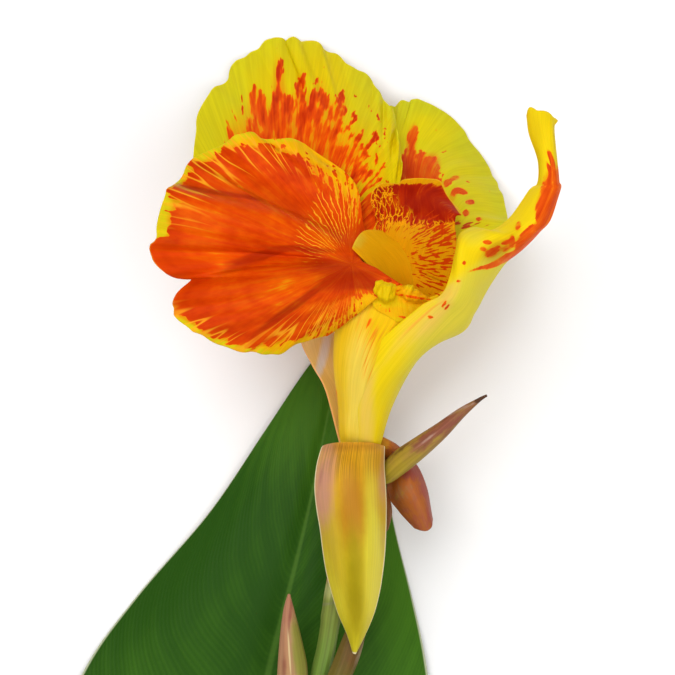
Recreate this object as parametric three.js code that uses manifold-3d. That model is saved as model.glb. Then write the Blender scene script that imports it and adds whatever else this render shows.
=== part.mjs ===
// A cut flowering stem of a canna with its uppermost leaf, laid down on a flat surface.
// Millimetres. +Y runs up the stem to the flower, +X to the labellum's side, +Z up from the surface.
import * as THREE from 'three';
import { mergeVertices } from 'three/addons/utils/BufferGeometryUtils.js';
import Module from 'manifold-3d';

const wasm = await Module();
wasm.setup();

// Driving dimensions
const PETAL = 0.8; // thickness of petals, staminodes, sepals and bracts
const LEAF = 0.9; // thickness of the leaf's blade and sheath
const TUBE_WALL = 0.9;
const CLEARANCE = 0.35; // kept between pieces that touch on the plant
const SINK = 0.15; // how far a resting blade is pressed flat against the surface
const TUBE_FLOOR = 2; // rings of the flower tube below its nectar floor

// Guide points. A blade is a list of rows from its claw to its margin, each from left to right.
const STAMINODE_BACK = [
  [[3.5, 22.5, 45], [5.5, 25.5, 42.5], [8.5, 27.5, 41], [12, 28.5, 40.5], [15, 29, 40.5]],
  [[-19, 31.5, 33], [-17, 43, 30], [-9.5, 50.5, 27], [-1.5, 52.5, 27], [6.5, 50.5, 29],
    [12.5, 45, 32], [15.5, 37, 36]],
  [[-36.5, 35.5, 22], [-37.5, 48.5, 16], [-35, 61.5, 8], [-28, 71, 3], [-21, 77, 0.5], [-14, 79.5, 0.5],
    [-6, 78.5, 2.5], [2, 73.5, 6], [9.5, 67.5, 10], [13, 61, 16], [16, 52.5, 24], [16.5, 43.5, 31]],
];
const STAMINODE_RIGHT_BACK = [
  [[13.5, 27.5, 38], [18, 28.5, 38], [22.5, 28, 39.5], [26.5, 26, 42]],
  [[9, 43, 28], [16, 46, 23], [24.5, 44.5, 21], [31, 39, 25], [33.5, 29, 35]],
  [[8, 59, 11], [14.5, 61.5, 7], [20, 63, 4], [28.5, 59.5, 2], [35, 51.5, 1], [40, 44, 3], [43, 37, 11],
    [43.5, 30.5, 22], [41.5, 28, 31]],
];
const STAMINODE_LEFT = [
  [[6.5, 28, 44], [5, 26, 46], [3, 23, 49.5], [2, 19.5, 52], [4, 15.5, 55.5], [7.5, 12, 58],
    [12.5, 9.5, 59]],
  [[4, 39.5, 43], [-5, 40.5, 44], [-12.5, 38, 45], [-19, 34.5, 49], [-17, 32, 57], [-18.5, 27, 60],
    [-19.5, 22, 57], [-17, 19.5, 55], [-18.5, 15, 61], [-16.5, 9.5, 64], [-9.5, 7, 61], [-2, 7, 58],
    [7.5, 8, 57]],
  [[-8, 48.5, 40], [-15.5, 50, 42], [-22, 51.5, 44], [-29.5, 48, 45], [-37, 44, 46], [-39.5, 38, 48],
    [-41.5, 36.5, 62], [-44, 28, 63], [-45.5, 21.5, 62], [-41.5, 15.5, 60], [-36, 14.5, 57], [-40, 8.5, 64],
    [-36, 2, 65], [-25, -3.5, 60], [-13, -3.5, 54], [-1.5, 0.5, 50]],
];
const PETALOID_STAMEN = [
  [[9.5, 23.5, 46], [13, 24, 44.5], [17, 24, 44], [21, 24, 44.5], [25.5, 23.5, 46.5]],
  [[9.5, 28.5, 45], [13, 30, 44], [18, 31, 43.5], [23, 30.5, 44], [27.5, 27.5, 46.5]],
  [[9, 32, 43.5], [12.5, 35, 41.5], [18, 36, 39.5], [23, 36, 39.5], [29, 30, 45.5]],
  [[8.5, 33.5, 42.5], [8.5, 36.5, 41.5], [11, 38.5, 40], [15.5, 39, 38], [18.5, 40.5, 36.5], [23.5, 40.5, 36],
    [27.5, 38, 37.5], [30, 33.5, 41], [31, 30.5, 45]],
];
const LABELLUM = [
  [[5, -27.5, 38.5], [6.5, -27.5, 38.5], [8.5, -27.5, 37.5], [9.5, -27.5, 36], [10.5, -28, 33.5]],
  [[5.5, -15.5, 46.5], [8.5, -15.5, 47], [11, -15.5, 45.5], [13, -16, 42.5], [14, -16.5, 38.5]],
  [[13, -3, 55], [16, -4, 55], [18.5, -5, 53], [20, -5, 50], [21.5, -3.5, 45.5]],
  [[21, 7, 61], [24, 6, 61.5], [26.5, 4.5, 59.5], [29.5, 2.5, 55.5], [31, 1.5, 50.5]],
  [[27, 13, 65], [29, 13, 66], [32, 12, 63.5], [34.5, 11.5, 59], [36.5, 11, 54]],
  [[30.5, 20, 63], [30, 21, 67], [34.5, 18.5, 64.5], [38.5, 17.5, 60], [41, 18, 55]],
  [[32.5, 26, 59], [34.5, 25.5, 63], [39.5, 23, 64], [44, 22, 62], [46.5, 23, 58]],
  [[42.5, 29.5, 56], [44.5, 29, 60], [47.5, 29, 62], [50, 28.5, 61], [52.5, 29.5, 58]],
  [[47.5, 36.5, 55], [49, 36, 59], [51, 36, 60], [53.5, 36, 59], [55, 36.5, 56]],
  [[49.5, 43, 54], [50.5, 43, 57], [52, 43, 58], [53, 43, 58], [54, 43, 56]],
  [[47.5, 50.5, 51], [49, 50.5, 54], [50.5, 51, 56], [52.5, 51, 56], [53.5, 51, 54]],
  [[47, 55.5, 49], [48, 57, 51], [50.5, 56, 53], [53, 55, 53], [54.5, 53.5, 52]],
];
const STYLE = [
  [[14.5, 10, 50], [18, 11.5, 49]],
  [[9, 16.5, 51], [15.5, 19, 49]],
  [[3.5, 22, 54.5], [5, 25, 53], [7, 26.5, 51], [9, 24, 49]],
];
const PETAL_FRONT = [
  [[-3, -28, 34], [0, -27, 39.5], [4.5, -27, 41.5], [9, -27.5, 39.5], [12, -30, 34]],
  [[-6, -36, 35], [-1.5, -36, 43], [3.5, -36.5, 45.5], [8.5, -36.5, 43], [12, -36, 35]],
  [[-5, -46.5, 34], [-1, -46.5, 42], [3.5, -47, 45], [8, -47, 42], [12.5, -46.5, 34]],
  [[-3, -58, 32], [0, -58, 39], [4, -58, 42], [8, -58.5, 39], [11.5, -58, 32]],
  [[-0.5, -68.5, 30], [1.5, -68.5, 34], [4.5, -69, 36], [7.5, -69, 34], [10, -68.5, 30]],
  [[2, -76, 28], [3, -76, 29.5], [4.5, -76, 30.5], [6, -76, 29.5], [7.5, -75.5, 28]],
  [[4, -81, 27], [4.5, -81.5, 27], [5, -81, 27]],
];
const PETAL_RIGHT = [
  [[11, -25.5, 30], [12.5, -26.5, 30.5], [13, -28, 30.5], [12.5, -30, 29], [11.5, -31.5, 27.5]],
  [[15, -28, 25], [16.5, -29.5, 27], [16, -32, 27.5], [14.5, -34, 26.5], [12.5, -36.5, 23.5]],
  [[20.5, -33, 24], [19.5, -35.5, 28], [18.5, -38, 29], [16, -40, 27.5], [13.5, -41.5, 23]],
  [[23, -39, 25], [22, -41, 29], [20.5, -42.5, 30], [18.5, -44, 28.5], [16, -45, 24]],
  [[24.5, -47, 26], [24, -48.5, 27.5], [23, -49.5, 28], [21.5, -49.5, 27.5], [20, -49, 26]],
];
const PETAL_LEFT = [
  [[0.5, -26.5, 28], [2, -27, 26], [4, -26.5, 26]],
  [[-3, -13.5, 31], [0, -14.5, 27], [3, -13.5, 26]],
  [[-6.5, -7, 33], [-3.5, -7.5, 29.5], [0.5, -6.5, 28]],
  [[-9.5, 0, 34], [-5.5, 2, 31.5], [-1, 2, 31]],
  [[-8, 10.5, 35], [-6, 11.5, 34], [-3.5, 10.5, 33]],
];
const BRACT_LOWER = [
  [[-9.5, -103.5, 23], [-8, -104, 23], [-6, -103.5, 22], [-4, -103, 19]],
  [[-6.5, -95.5, 24.5], [-4.5, -96, 25], [-2, -95.5, 24], [-1, -95, 20.5]],
  [[-2.5, -86.5, 25.5], [0, -86.5, 27], [3, -86.5, 26], [4, -86.5, 23]],
  [[1, -78, 24.5], [3, -78, 25.5], [5.5, -77.5, 25], [7, -77, 22.5]],
  [[5, -69, 23.5], [5.5, -68.5, 24], [6.5, -69, 23.5]],
];
const SEPAL_RIGHT = [
  [[9, -33.5, 24.5], [10.5, -34.5, 26], [11, -36, 25]],
  [[10.5, -39, 25], [12, -39.5, 26], [12.5, -39, 24.5]],
  [[12, -45, 24.5], [13, -45, 25.5], [14, -44.5, 24]],
  [[12, -50, 24], [12.5, -50, 24.5], [13, -49.5, 24]],
];
const SEPAL_LEFT = [
  [[-1.5, -30, 34.5], [-2.5, -31, 33], [-2.5, -33, 30]],
  [[-3, -37.5, 34.5], [-4, -38, 32], [-4, -38, 28.5]],
  [[-3, -43, 33.5], [-3.5, -43.5, 32], [-4, -43, 29]],
  [[-2.5, -48, 32], [-2.5, -48.5, 31.5], [-3, -48, 31]],
];
const SEPAL_BACK = [
  [[2, -28, 25.5], [4, -28, 24.5], [7, -28, 25]],
  [[2, -22.5, 22.5], [5, -22.5, 21.5], [7.5, -22.5, 22]],
  [[3, -17, 20], [5.5, -16.5, 19.5], [7.5, -17, 20]],
  [[5, -12, 19], [5.5, -12, 19], [6, -12, 19]],
];

// Stations of the limbs: centre x, y, z and radius
const STEM = [
  [3, -44.5, 28.5, 2.4], [1.5, -53, 27, 2.4], [0, -61, 25.5, 2.5], [-1, -67.5, 24.5, 2.7],
  [-2, -74.5, 23, 2.5], [-3, -80.5, 22, 2.5], [-4.5, -87.5, 21, 2.6], [-9, -110, 17.5, 2.8],
  [-13.5, -136.5, 13.5, 3], [-18, -163.5, 10, 3.1], [-22, -190.5, 7.5, 3.2], [-25, -214.5, 5.5, 3.3],
  [-27, -236, 4.9, 3.4], [-28, -254.5, 4.7, 3.4], [-28.5, -264, 4.7, 3.4],
];
const SIDE_BUD = [
  [-12.5, -66, 24, 0.3], [-12.5, -70.5, 24, 1.5], [-12, -78, 24, 2.9], [-11.5, -86, 24, 3.9],
  [-12, -93.5, 23.5, 3.6], [-12.5, -101, 22.5, 2.3], [-12.5, -106.5, 21, 1.6], [-10.5, -112.5, 19, 1.4],
];
const BRACT_RIGHT = [
  [11, -36.5, 28.5, 1.2], [12.5, -35, 30, 2.4], [16, -31.5, 33.5, 3], [21, -27.5, 37, 2.7],
  [26, -23.5, 39, 2.1], [31, -19, 41, 1.3], [35, -16, 42.5, 0.6], [36.5, -15, 43, 0.4],
  [37.5, -14.5, 43, 0.3],
];
const OVARY = [
  [3.5, -44, 28.5, 2.2], [3.5, -41.5, 29, 4.4], [4, -38, 30, 5.9], [4.5, -34, 31, 6], [5, -31, 32, 4.9],
  [5, -29.5, 32.2, 3],
];
// Sections of the flower tube: centre x, y, z, half width, half depth, tilt in degrees
const FLOWER_TUBE = [
  [5, -28.5, 33, 4, 4, 0], [5, -23.5, 35, 4.6, 5, 6], [6, -16, 38, 6, 6.5, 11],
  [7.5, -7, 42, 8.5, 8.2, 20], [10.5, 3, 46, 11.2, 9.8, 34], [14.5, 13, 49, 13.7, 11.5, 49],
  [17, 19, 49.5, 13.9, 12, 56],
];
// Stations of the leaf's blade: y, midrib x, half widths left and right, heights of midrib and both edges
const LEAF_BLADE = [
  [2, 2, 0.6, 0.6, 0.9, 0.6, 0.6], [-7.5, 0, 7.5, 8, 3, 1.2, 1.2], [-25, -3.5, 16, 15, 5.5, 2.5, 1.5],
  [-47, -8, 26.5, 22.5, 7.5, 1.5, 0.3], [-69.5, -13.5, 40.5, 33.5, 8.5, 0.3, 1.5],
  [-89.5, -18.5, 49.5, 42.5, 8, 1.2, 3], [-120, -24, 56.5, 51.5, 6, 3, 2.5],
  [-154.5, -28, 57, 54.5, 3.5, 1.5, 0.3], [-189, -28.5, 44, 47.5, 1.2, 5, 3.5],
  [-215.5, -26.5, 23.5, 28.5, 0.6, 9, 8],
];
// Stations of the leaf's sheath round the stem: y, x, z, radius, degrees that it reaches round
const LEAF_SHEATH = [[-232, -26.5, 6.3, 6, 200], [-245, -27.5, 4.9, 4.6, 260], [-259, -28, 4.8, 4.5, 300]];
const MIDRIB_DEPTH = 0.8; // groove over the midrib
const WART_HEIGHT = 0.1; // of the ovary's radius

const curve = (points) => new THREE.CatmullRomCurve3(points, false, 'catmullrom', 0.5);
const fractions = (steps) => Array.from({ length: steps + 1 }, (_, step) => step / steps);

/** Smooth skin over rows of guide points, as grid[j][i] with i across and j from first row to last. */
function skin(rows, across, lengthwise) {
  const rowCurves = rows.map((row) => curve(row.map((point) => new THREE.Vector3(...point))));
  const columns = fractions(across).map((u) => curve(rowCurves.map((row) => row.getPoint(u))));
  return fractions(lengthwise).map((v) => columns.map((column) => column.getPoint(v)));
}

/** Unit vector from one point of a grid to another. */
const heading = (from, to) => to.clone().sub(from).normalize();

/** Directions of a grid at one of its points: its normal and the way to the margin. */
function frameAt(grid, j, i) {
  const before = grid[Math.max(j - 1, 0)][i];
  const after = grid[Math.min(j + 1, grid.length - 1)][i];
  const row = grid[j];
  const sideways = heading(row[Math.max(i - 1, 0)], row[Math.min(i + 1, row.length - 1)]);
  const outward = heading(before, after);
  return { normal: sideways.cross(outward).normalize(), outward };
}

/** A grid moved point by point: move(u, v, normal, outward) gives each point's shift. */
function shifted(grid, move) {
  const [last, side] = [grid.length - 1, grid[0].length - 1];
  return grid.map((row, j) => row.map((point, i) => {
    const { normal, outward } = frameAt(grid, j, i);
    return point.clone().add(move(i / side, j / last, normal, outward));
  }));
}

/** Ruffled margin: waves across the blade that grow towards it, and shallow scallops cut into it. */
function ruffled(grid, { waves, depth, from = 0.5, scallops, bite }) {
  return shifted(grid, (u, v, normal, outward) => {
    const grown = THREE.MathUtils.smoothstep(v, from, 1);
    const wave = depth * grown * Math.sin(2 * Math.PI * waves * u);
    const nicked = THREE.MathUtils.smoothstep(v, 0.7, 1);
    const scallop = bite * nicked * (Math.abs(Math.sin(Math.PI * scallops * u)) - 0.6);
    return normal.multiplyScalar(wave).addScaledVector(outward, scallop);
  });
}

/** A mesh's geometry from a list of points and a list of triangles. */
function geometryOf(points, triangles) {
  const geometry = new THREE.BufferGeometry().setFromPoints(points);
  geometry.setIndex(triangles.flat());
  geometry.computeVertexNormals();
  return geometry;
}

/** Thin closed blade over a grid, split alike on both faces and pressed flat where it meets the surface. */
function blade(grid, thickness = PETAL) {
  const [last, side] = [grid.length - 1, grid[0].length - 1];
  const at = (j, i) => j * (side + 1) + i;
  const settled = grid.map((row) => row.map((point) => (
    new THREE.Vector3(point.x, point.y, Math.max(point.z, thickness / 2 - SINK)))));
  const face = (sign) => settled.flatMap((row, j) => row.map((point, i) => {
    const moved = point.clone().addScaledVector(frameAt(settled, j, i).normal, (sign * thickness) / 2);
    return moved.setZ(Math.max(moved.z, 0));
  }));
  const points = [...face(1), ...face(-1)];
  const under = points.length / 2;
  const triangles = [];
  for (let j = 0; j < last; j += 1) {
    for (let i = 0; i < side; i += 1) {
      const [a, b, c, d] = [at(j, i), at(j, i + 1), at(j + 1, i), at(j + 1, i + 1)];
      const upper = [[a, b, d], [a, d, c]];
      triangles.push(...upper, ...upper.map(([p, q, r]) => [under + p, under + r, under + q]));
    }
  }
  const count = (length) => Array.from({ length }, (_, step) => step);
  const rim = [
    ...count(side).map((i) => at(0, i)),
    ...count(last).map((j) => at(j, side)),
    ...count(side).map((i) => at(last, side - i)),
    ...count(last).map((j) => at(last - j, 0)),
  ];
  rim.forEach((p, step) => {
    const q = rim[(step + 1) % rim.length];
    triangles.push([p, under + p, under + q], [p, under + q, q]);
  });
  return geometryOf(points, triangles);
}

/** Rings of points round a curve of stations; radii(t, angle) gives the radius at each angle. */
function rings(centres, sides, steps, radii) {
  const up = new THREE.Vector3(0, 0, 1);
  return fractions(steps).map((t) => {
    const tangent = centres.getTangent(t);
    const across = up.clone().cross(tangent).normalize();
    const over = tangent.clone().cross(across);
    return Array.from({ length: sides }, (_, i) => {
      const angle = (2 * Math.PI * i) / sides;
      const radius = radii(t, angle);
      return centres.getPoint(t).addScaledVector(across, radius * Math.cos(angle))
        .addScaledVector(over, radius * Math.sin(angle));
    });
  });
}

/** Triangles of a wall between rings of points, which run round the way that they advance. */
function wallTriangles(count, sides, start = 0) {
  const triangles = [];
  for (let j = 0; j < count - 1; j += 1) {
    for (let i = 0; i < sides; i += 1) {
      const next = (i + 1) % sides;
      const [a, b] = [start + j * sides + i, start + j * sides + next];
      triangles.push([a, b, b + sides], [a, b + sides, a + sides]);
    }
  }
  return triangles;
}

/** Triangles from one middle point to a ring, facing the way that the ring runs round, or the other way. */
function capTriangles(middle, start, sides, flip) {
  return Array.from({ length: sides }, (_, i) => {
    const [a, b] = [start + i, start + ((i + 1) % sides)];
    return flip ? [middle, b, a] : [middle, a, b];
  });
}

/** Closed limb through stations of x, y, z and radius. bump(t, angle) raises its surface by a share. */
function limb(stations, sides, steps, bump = () => 0, grow = 0) {
  const centres = curve(stations.map(([x, y, z]) => new THREE.Vector3(x, y, z)));
  const widths = curve(stations.map(([, , , radius]) => new THREE.Vector3(radius, 0, 0)));
  const loops = rings(centres, sides, steps, (t, angle) => (
    (widths.getPoint(t).x + grow) * (1 + bump(t, angle))));
  const points = [...loops.flat(), centres.getPoint(0), centres.getPoint(1)];
  const foot = points.length - 2;
  return geometryOf(points, [
    ...wallTriangles(loops.length, sides),
    ...capTriangles(foot, 0, sides, true),
    ...capTriangles(foot + 1, foot - sides, sides, false),
  ]);
}

/** Hollow funnel, closed at its foot and open at its mouth. */
function funnel(sections, wall, sides, steps) {
  const centres = curve(sections.map(([x, y, z]) => new THREE.Vector3(x, y, z)));
  const shapes = curve(sections.map(([, , , width, depth, tilt]) => new THREE.Vector3(width, depth, tilt)));
  const loop = (t, inset) => {
    const shape = shapes.getPoint(t);
    const tilt = THREE.MathUtils.degToRad(shape.z);
    return Array.from({ length: sides }, (_, i) => {
      const angle = (-2 * Math.PI * i) / sides;
      const depth = (shape.y - inset) * Math.sin(angle);
      return centres.getPoint(t).add(new THREE.Vector3(
        (shape.x - inset) * Math.cos(angle), -depth * Math.sin(tilt), depth * Math.cos(tilt)));
    });
  };
  const outer = fractions(steps).map((t) => loop(t, 0));
  const inner = fractions(steps).slice(TUBE_FLOOR).reverse().map((t) => loop(t, wall));
  const middles = [centres.getPoint(0), centres.getPoint(TUBE_FLOOR / steps)];
  const points = [...outer.flat(), ...inner.flat(), ...middles];
  const foot = points.length - middles.length;
  return geometryOf(points, [
    ...wallTriangles(outer.length + inner.length, sides),
    ...capTriangles(foot, 0, sides, true),
    ...capTriangles(foot + 1, foot - sides, sides, false),
  ]);
}

/** A geometry as a manifold solid. */
function solid(geometry) {
  const bare = geometry.clone();
  bare.deleteAttribute('normal');
  const merged = mergeVertices(bare);
  return new wasm.Manifold(new wasm.Mesh({
    numProp: 3,
    vertProperties: new Float32Array(merged.attributes.position.array),
    triVerts: new Uint32Array(merged.index.array),
  }));
}

/** A geometry with another one cut out of it. */
function cut(geometry, tool) {
  const { vertProperties, triVerts, numProp } = solid(geometry).subtract(solid(tool)).getMesh();
  const points = Array.from({ length: vertProperties.length / numProp }, (_, i) => (
    new THREE.Vector3().fromArray(vertProperties, i * numProp)));
  return geometryOf(points, [Array.from(triVerts)]);
}

/** A named piece with its own material. */
function piece(name, geometry, color, roughness) {
  const mesh = new THREE.Mesh(geometry, new THREE.MeshStandardMaterial({ color, roughness, metalness: 0 }));
  mesh.name = name;
  return mesh;
}

/** Row of guide points across the leaf's blade, arched between midrib and edges. */
function bladeRow([y, x, left, right, crest, liftLeft, liftRight]) {
  const half = (side, width, lift) => [
    [x + side * width, y, lift],
    [x + side * 0.62 * width, y, 0.72 * crest + 0.28 * lift],
    [x + side * 0.2 * width, y, crest],
  ];
  const groove = Math.min(MIDRIB_DEPTH, crest / 3);
  return [...half(-1, left, liftLeft), [x, y, crest - groove], ...half(1, right, liftRight).reverse()];
}

/** Row of guide points round the stem, open above it. */
function sheathRow([y, x, z, radius, reach]) {
  return fractions(6).map((share) => {
    const angle = THREE.MathUtils.degToRad((share - 0.5) * reach - 90);
    return [x + radius * Math.cos(angle), y, z + radius * Math.sin(angle)];
  });
}

/** Leaf: blade, petiole and the sheath that clasps the stem, grown as one. */
function leaf() {
  const rows = [...LEAF_BLADE.map(bladeRow), ...LEAF_SHEATH.map(sheathRow)];
  return blade(skin(rows, 16, 28), LEAF);
}

/** Warty fruit under the flower, grown by a margin if given: low rounded bumps in offset rows. */
function ovary(grow = 0) {
  const bump = (t, angle) => WART_HEIGHT * Math.max(0, Math.sin(9 * angle) * Math.sin(6 * Math.PI * t));
  return limb(OVARY, 24, 12, bump, grow);
}

const stemTool = limb(STEM, 12, 28, undefined, CLEARANCE);

const bloom = new THREE.Group();
bloom.add(
  piece('ovary', ovary(), 0x8a9a3c, 0.6),
  piece('flower_tube', funnel(FLOWER_TUBE, TUBE_WALL, 24, 10), 0xf0c322, 0.45),
  piece('staminode_back', blade(ruffled(skin(STAMINODE_BACK, 40, 9), {
    waves: 9, depth: 1.1, scallops: 12, bite: 0.7,
  })), 0xe0d014, 0.5),
  piece('staminode_right_back', blade(ruffled(skin(STAMINODE_RIGHT_BACK, 28, 8), {
    waves: 6, depth: 1, scallops: 9, bite: 0.6,
  })), 0xdcd41a, 0.5),
  piece('staminode_left', blade(ruffled(skin(STAMINODE_LEFT, 48, 10), {
    waves: 12, depth: 0.6, scallops: 14, bite: 0.7,
  })), 0xee5a0c, 0.5),
  piece('labellum', blade(skin(LABELLUM, 8, 33)), 0xe4c832, 0.5),
  piece('petaloid_stamen', blade(skin(PETALOID_STAMEN, 12, 6)), 0xa82408, 0.5),
  piece('style', blade(skin(STYLE, 4, 6)), 0xf3e27a, 0.45),
  piece('petal_front', blade(skin(PETAL_FRONT, 8, 16)), 0xc8a028, 0.5),
  piece('petal_right', blade(skin(PETAL_RIGHT, 8, 9)), 0xb0602f, 0.55),
  piece('petal_left', blade(skin(PETAL_LEFT, 6, 10)), 0xcfae92, 0.5),
  piece('sepal_right', blade(skin(SEPAL_RIGHT, 4, 6)), 0x9a6a48, 0.6),
  piece('sepal_left', blade(skin(SEPAL_LEFT, 4, 6)), 0xa08a4a, 0.6),
  piece('sepal_back', blade(skin(SEPAL_BACK, 4, 6)), 0xa08a4a, 0.6),
  piece('bract_right', cut(limb(BRACT_RIGHT, 10, 16), ovary(CLEARANCE)), 0x9a5a42, 0.6),
);

const shoot = new THREE.Group();
shoot.add(
  piece('stem', limb(STEM, 12, 28), 0x739a40, 0.5),
  piece('side_bud', cut(limb(SIDE_BUD, 12, 16), stemTool), 0xb98270, 0.5),
  piece('bract_lower', blade(skin(BRACT_LOWER, 6, 10)), 0x8a8a4a, 0.6),
  piece('leaf', leaf(), 0x355f22, 0.4),
);

// The origin is under the middle of the plant's box, on the surface it lies on
const plant = new THREE.Group();
plant.add(bloom, shoot);
const box = new THREE.Box3().setFromObject(plant);
const middle = box.getCenter(new THREE.Vector3());
plant.position.set(-middle.x, -middle.y, -box.min.z);

export default plant;
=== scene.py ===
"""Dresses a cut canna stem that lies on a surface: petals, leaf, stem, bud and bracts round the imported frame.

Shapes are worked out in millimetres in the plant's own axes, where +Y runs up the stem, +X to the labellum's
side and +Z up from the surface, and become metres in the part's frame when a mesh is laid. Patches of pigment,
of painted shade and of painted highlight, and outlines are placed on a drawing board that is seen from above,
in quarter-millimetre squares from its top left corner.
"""

from __future__ import annotations

import logging
import math
from abc import ABC, abstractmethod
from collections.abc import Callable, Iterator, Sequence
from contextlib import contextmanager
from dataclasses import dataclass, field
from enum import Enum
from typing import Protocol

import bpy
import numpy as np
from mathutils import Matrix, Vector, noise

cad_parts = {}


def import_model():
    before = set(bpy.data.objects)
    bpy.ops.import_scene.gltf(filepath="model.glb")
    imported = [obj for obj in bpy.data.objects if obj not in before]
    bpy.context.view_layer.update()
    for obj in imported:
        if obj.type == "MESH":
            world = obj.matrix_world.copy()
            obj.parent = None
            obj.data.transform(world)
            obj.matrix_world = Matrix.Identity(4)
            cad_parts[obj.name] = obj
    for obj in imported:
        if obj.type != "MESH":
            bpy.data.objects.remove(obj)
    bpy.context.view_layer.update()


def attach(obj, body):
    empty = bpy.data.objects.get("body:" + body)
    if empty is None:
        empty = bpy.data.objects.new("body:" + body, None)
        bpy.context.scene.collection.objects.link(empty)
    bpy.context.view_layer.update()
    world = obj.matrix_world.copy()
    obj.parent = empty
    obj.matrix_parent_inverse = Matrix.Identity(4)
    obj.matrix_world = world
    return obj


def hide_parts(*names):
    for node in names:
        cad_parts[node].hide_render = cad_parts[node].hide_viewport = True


LOG = logging.getLogger("canna")

MM = 0.001
PLACE = np.array([14.994, 91.743, 0.0])  # the plant's own axes in the part's frame
SQUARE = 0.25  # of the drawing board, at its level
BOARD_MIDDLE = 337.5
BOARD_LEVEL = 45.0
EYE = 745.0  # height of the eye over the surface
THROAT = (374.0, 262.0)  # square of the drawing board that the throat's dashes fan out from
FLOOR_GAP = 0.05  # least height of a piece over the surface
SURFACE_STEP = 0.004  # share of a surface over which its directions are measured
LIMB_STEP = 0.002  # share of a limb over which its direction is measured
LEAST_RADIUS = 0.05  # of a limb
LEAST_LENGTH = 1e-9  # of a vector that is scaled to one
AT_END = 1e-6  # share that still counts as an end
LINE_POINTS = 24  # of an outline, for each of its squares
NEAREST = 4.0  # squares from the middle within which rays and dashes get no finer
HOOD_SHARES = (-1, -0.86, -0.6, -0.3, 0, 0.3, 0.6, 0.86, 1)  # across a hood
HOOD_ROUNDING = 2.4  # power of the share by which a hood falls to its edges

Rows = Sequence[Sequence[tuple[float, float, float]]]
Colour = tuple[int, int, int]

# ---------------------------------------------------------------- guide points, row by row from claw to margin
STAMINODE_BACK: Rows = (
    ((3.5, 22.5, 45), (5.5, 25.5, 42.5), (8.5, 27.5, 41), (12, 28.5, 40.5), (15, 29, 40.5)),
    ((-19, 31.5, 33), (-17, 43, 30), (-9.5, 50.5, 27), (-1.5, 52.5, 27), (6.5, 50.5, 29), (12.5, 45, 32),
     (15.5, 37, 36)),
    ((-36.5, 35.5, 22), (-37.5, 48.5, 16), (-35, 61.5, 8), (-28, 71, 3), (-21, 77, 0.5), (-14, 79.5, 0.5),
     (-6, 78.5, 2.5), (2, 73.5, 6), (9.5, 67.5, 10), (13, 61, 16), (16, 52.5, 24), (16.5, 43.5, 31)),
)
STAMINODE_RIGHT_BACK: Rows = (
    ((13.5, 27.5, 38), (19, 28, 38), (25, 25, 40.5), (30.5, 19.5, 44.5)),
    ((9, 43, 28), (16, 46, 23), (24.5, 44.5, 21), (31.5, 36, 26), (35.5, 22.5, 40)),
    ((8, 59, 11), (14.5, 61.5, 7), (20, 63, 4), (28.5, 59.5, 2), (35, 51.5, 1), (40, 44, 3), (43, 37, 11),
     (43.5, 29.5, 22), (41.5, 25.5, 32)),
)
STAMINODE_LEFT: Rows = (
    ((6.5, 28, 44), (5, 26, 46), (3, 23, 49.5), (3, 19.8, 52.5), (5.4, 17.4, 55.3), (9, 15, 57.4),
     (14.5, 12.6, 58)),
    ((4, 39.5, 43), (-5, 40.5, 44), (-12.5, 38, 45), (-19, 34.5, 49), (-17, 32, 57), (-18.5, 27, 60),
     (-19.5, 22, 57), (-17, 19.5, 55), (-18.5, 15, 61), (-16.5, 9.5, 64), (-9.5, 7, 61), (-2, 7, 58),
     (7.5, 8, 57)),
    ((-8, 48.5, 40), (-15.5, 50, 42), (-22, 51.5, 44), (-29.5, 48, 45), (-37, 44, 46), (-39.5, 38, 48),
     (-41.5, 36.5, 62), (-44, 28, 63), (-45.5, 21.5, 62), (-41.5, 15.5, 60), (-36, 14.5, 57), (-40, 8.5, 64),
     (-36, 2, 65), (-25, -3.5, 60), (-13, -3.5, 54), (-1.5, 0.5, 50)),
)
PETALOID_STAMEN: Rows = (
    ((3.2, 14.5, 45.2), (7.5, 17, 42.1), (13.8, 18, 41), (20.8, 17, 42.4), (27.6, 14.5, 48)),
    ((4.6, 20, 45.6), (9.4, 22, 43.4), (15.3, 22.8, 42.7), (22.4, 22, 43.8), (29.3, 19.5, 48.4)),
    ((7.5, 24.5, 45.4), (12, 25.5, 44.2), (16.6, 26, 43.6), (22.6, 25.5, 44.4), (29.6, 24, 48.2)),
    ((9.5, 28.5, 45), (13, 30, 44), (18, 31, 43.5), (23.4, 30.5, 44.2), (29.3, 27.6, 47.6)),
    ((9, 32, 43.5), (12.5, 35, 41.5), (18, 36, 39.5), (23.2, 36, 39.7), (29.6, 30.2, 46)),
    ((8.5, 33.5, 42.5), (8.5, 36.5, 41.5), (11, 38.5, 40), (15.5, 39, 38), (18.5, 40.5, 36.5),
     (23.5, 40.5, 36), (27.5, 38, 37.5), (30, 33.5, 41), (31, 30.5, 45)),
)
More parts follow.
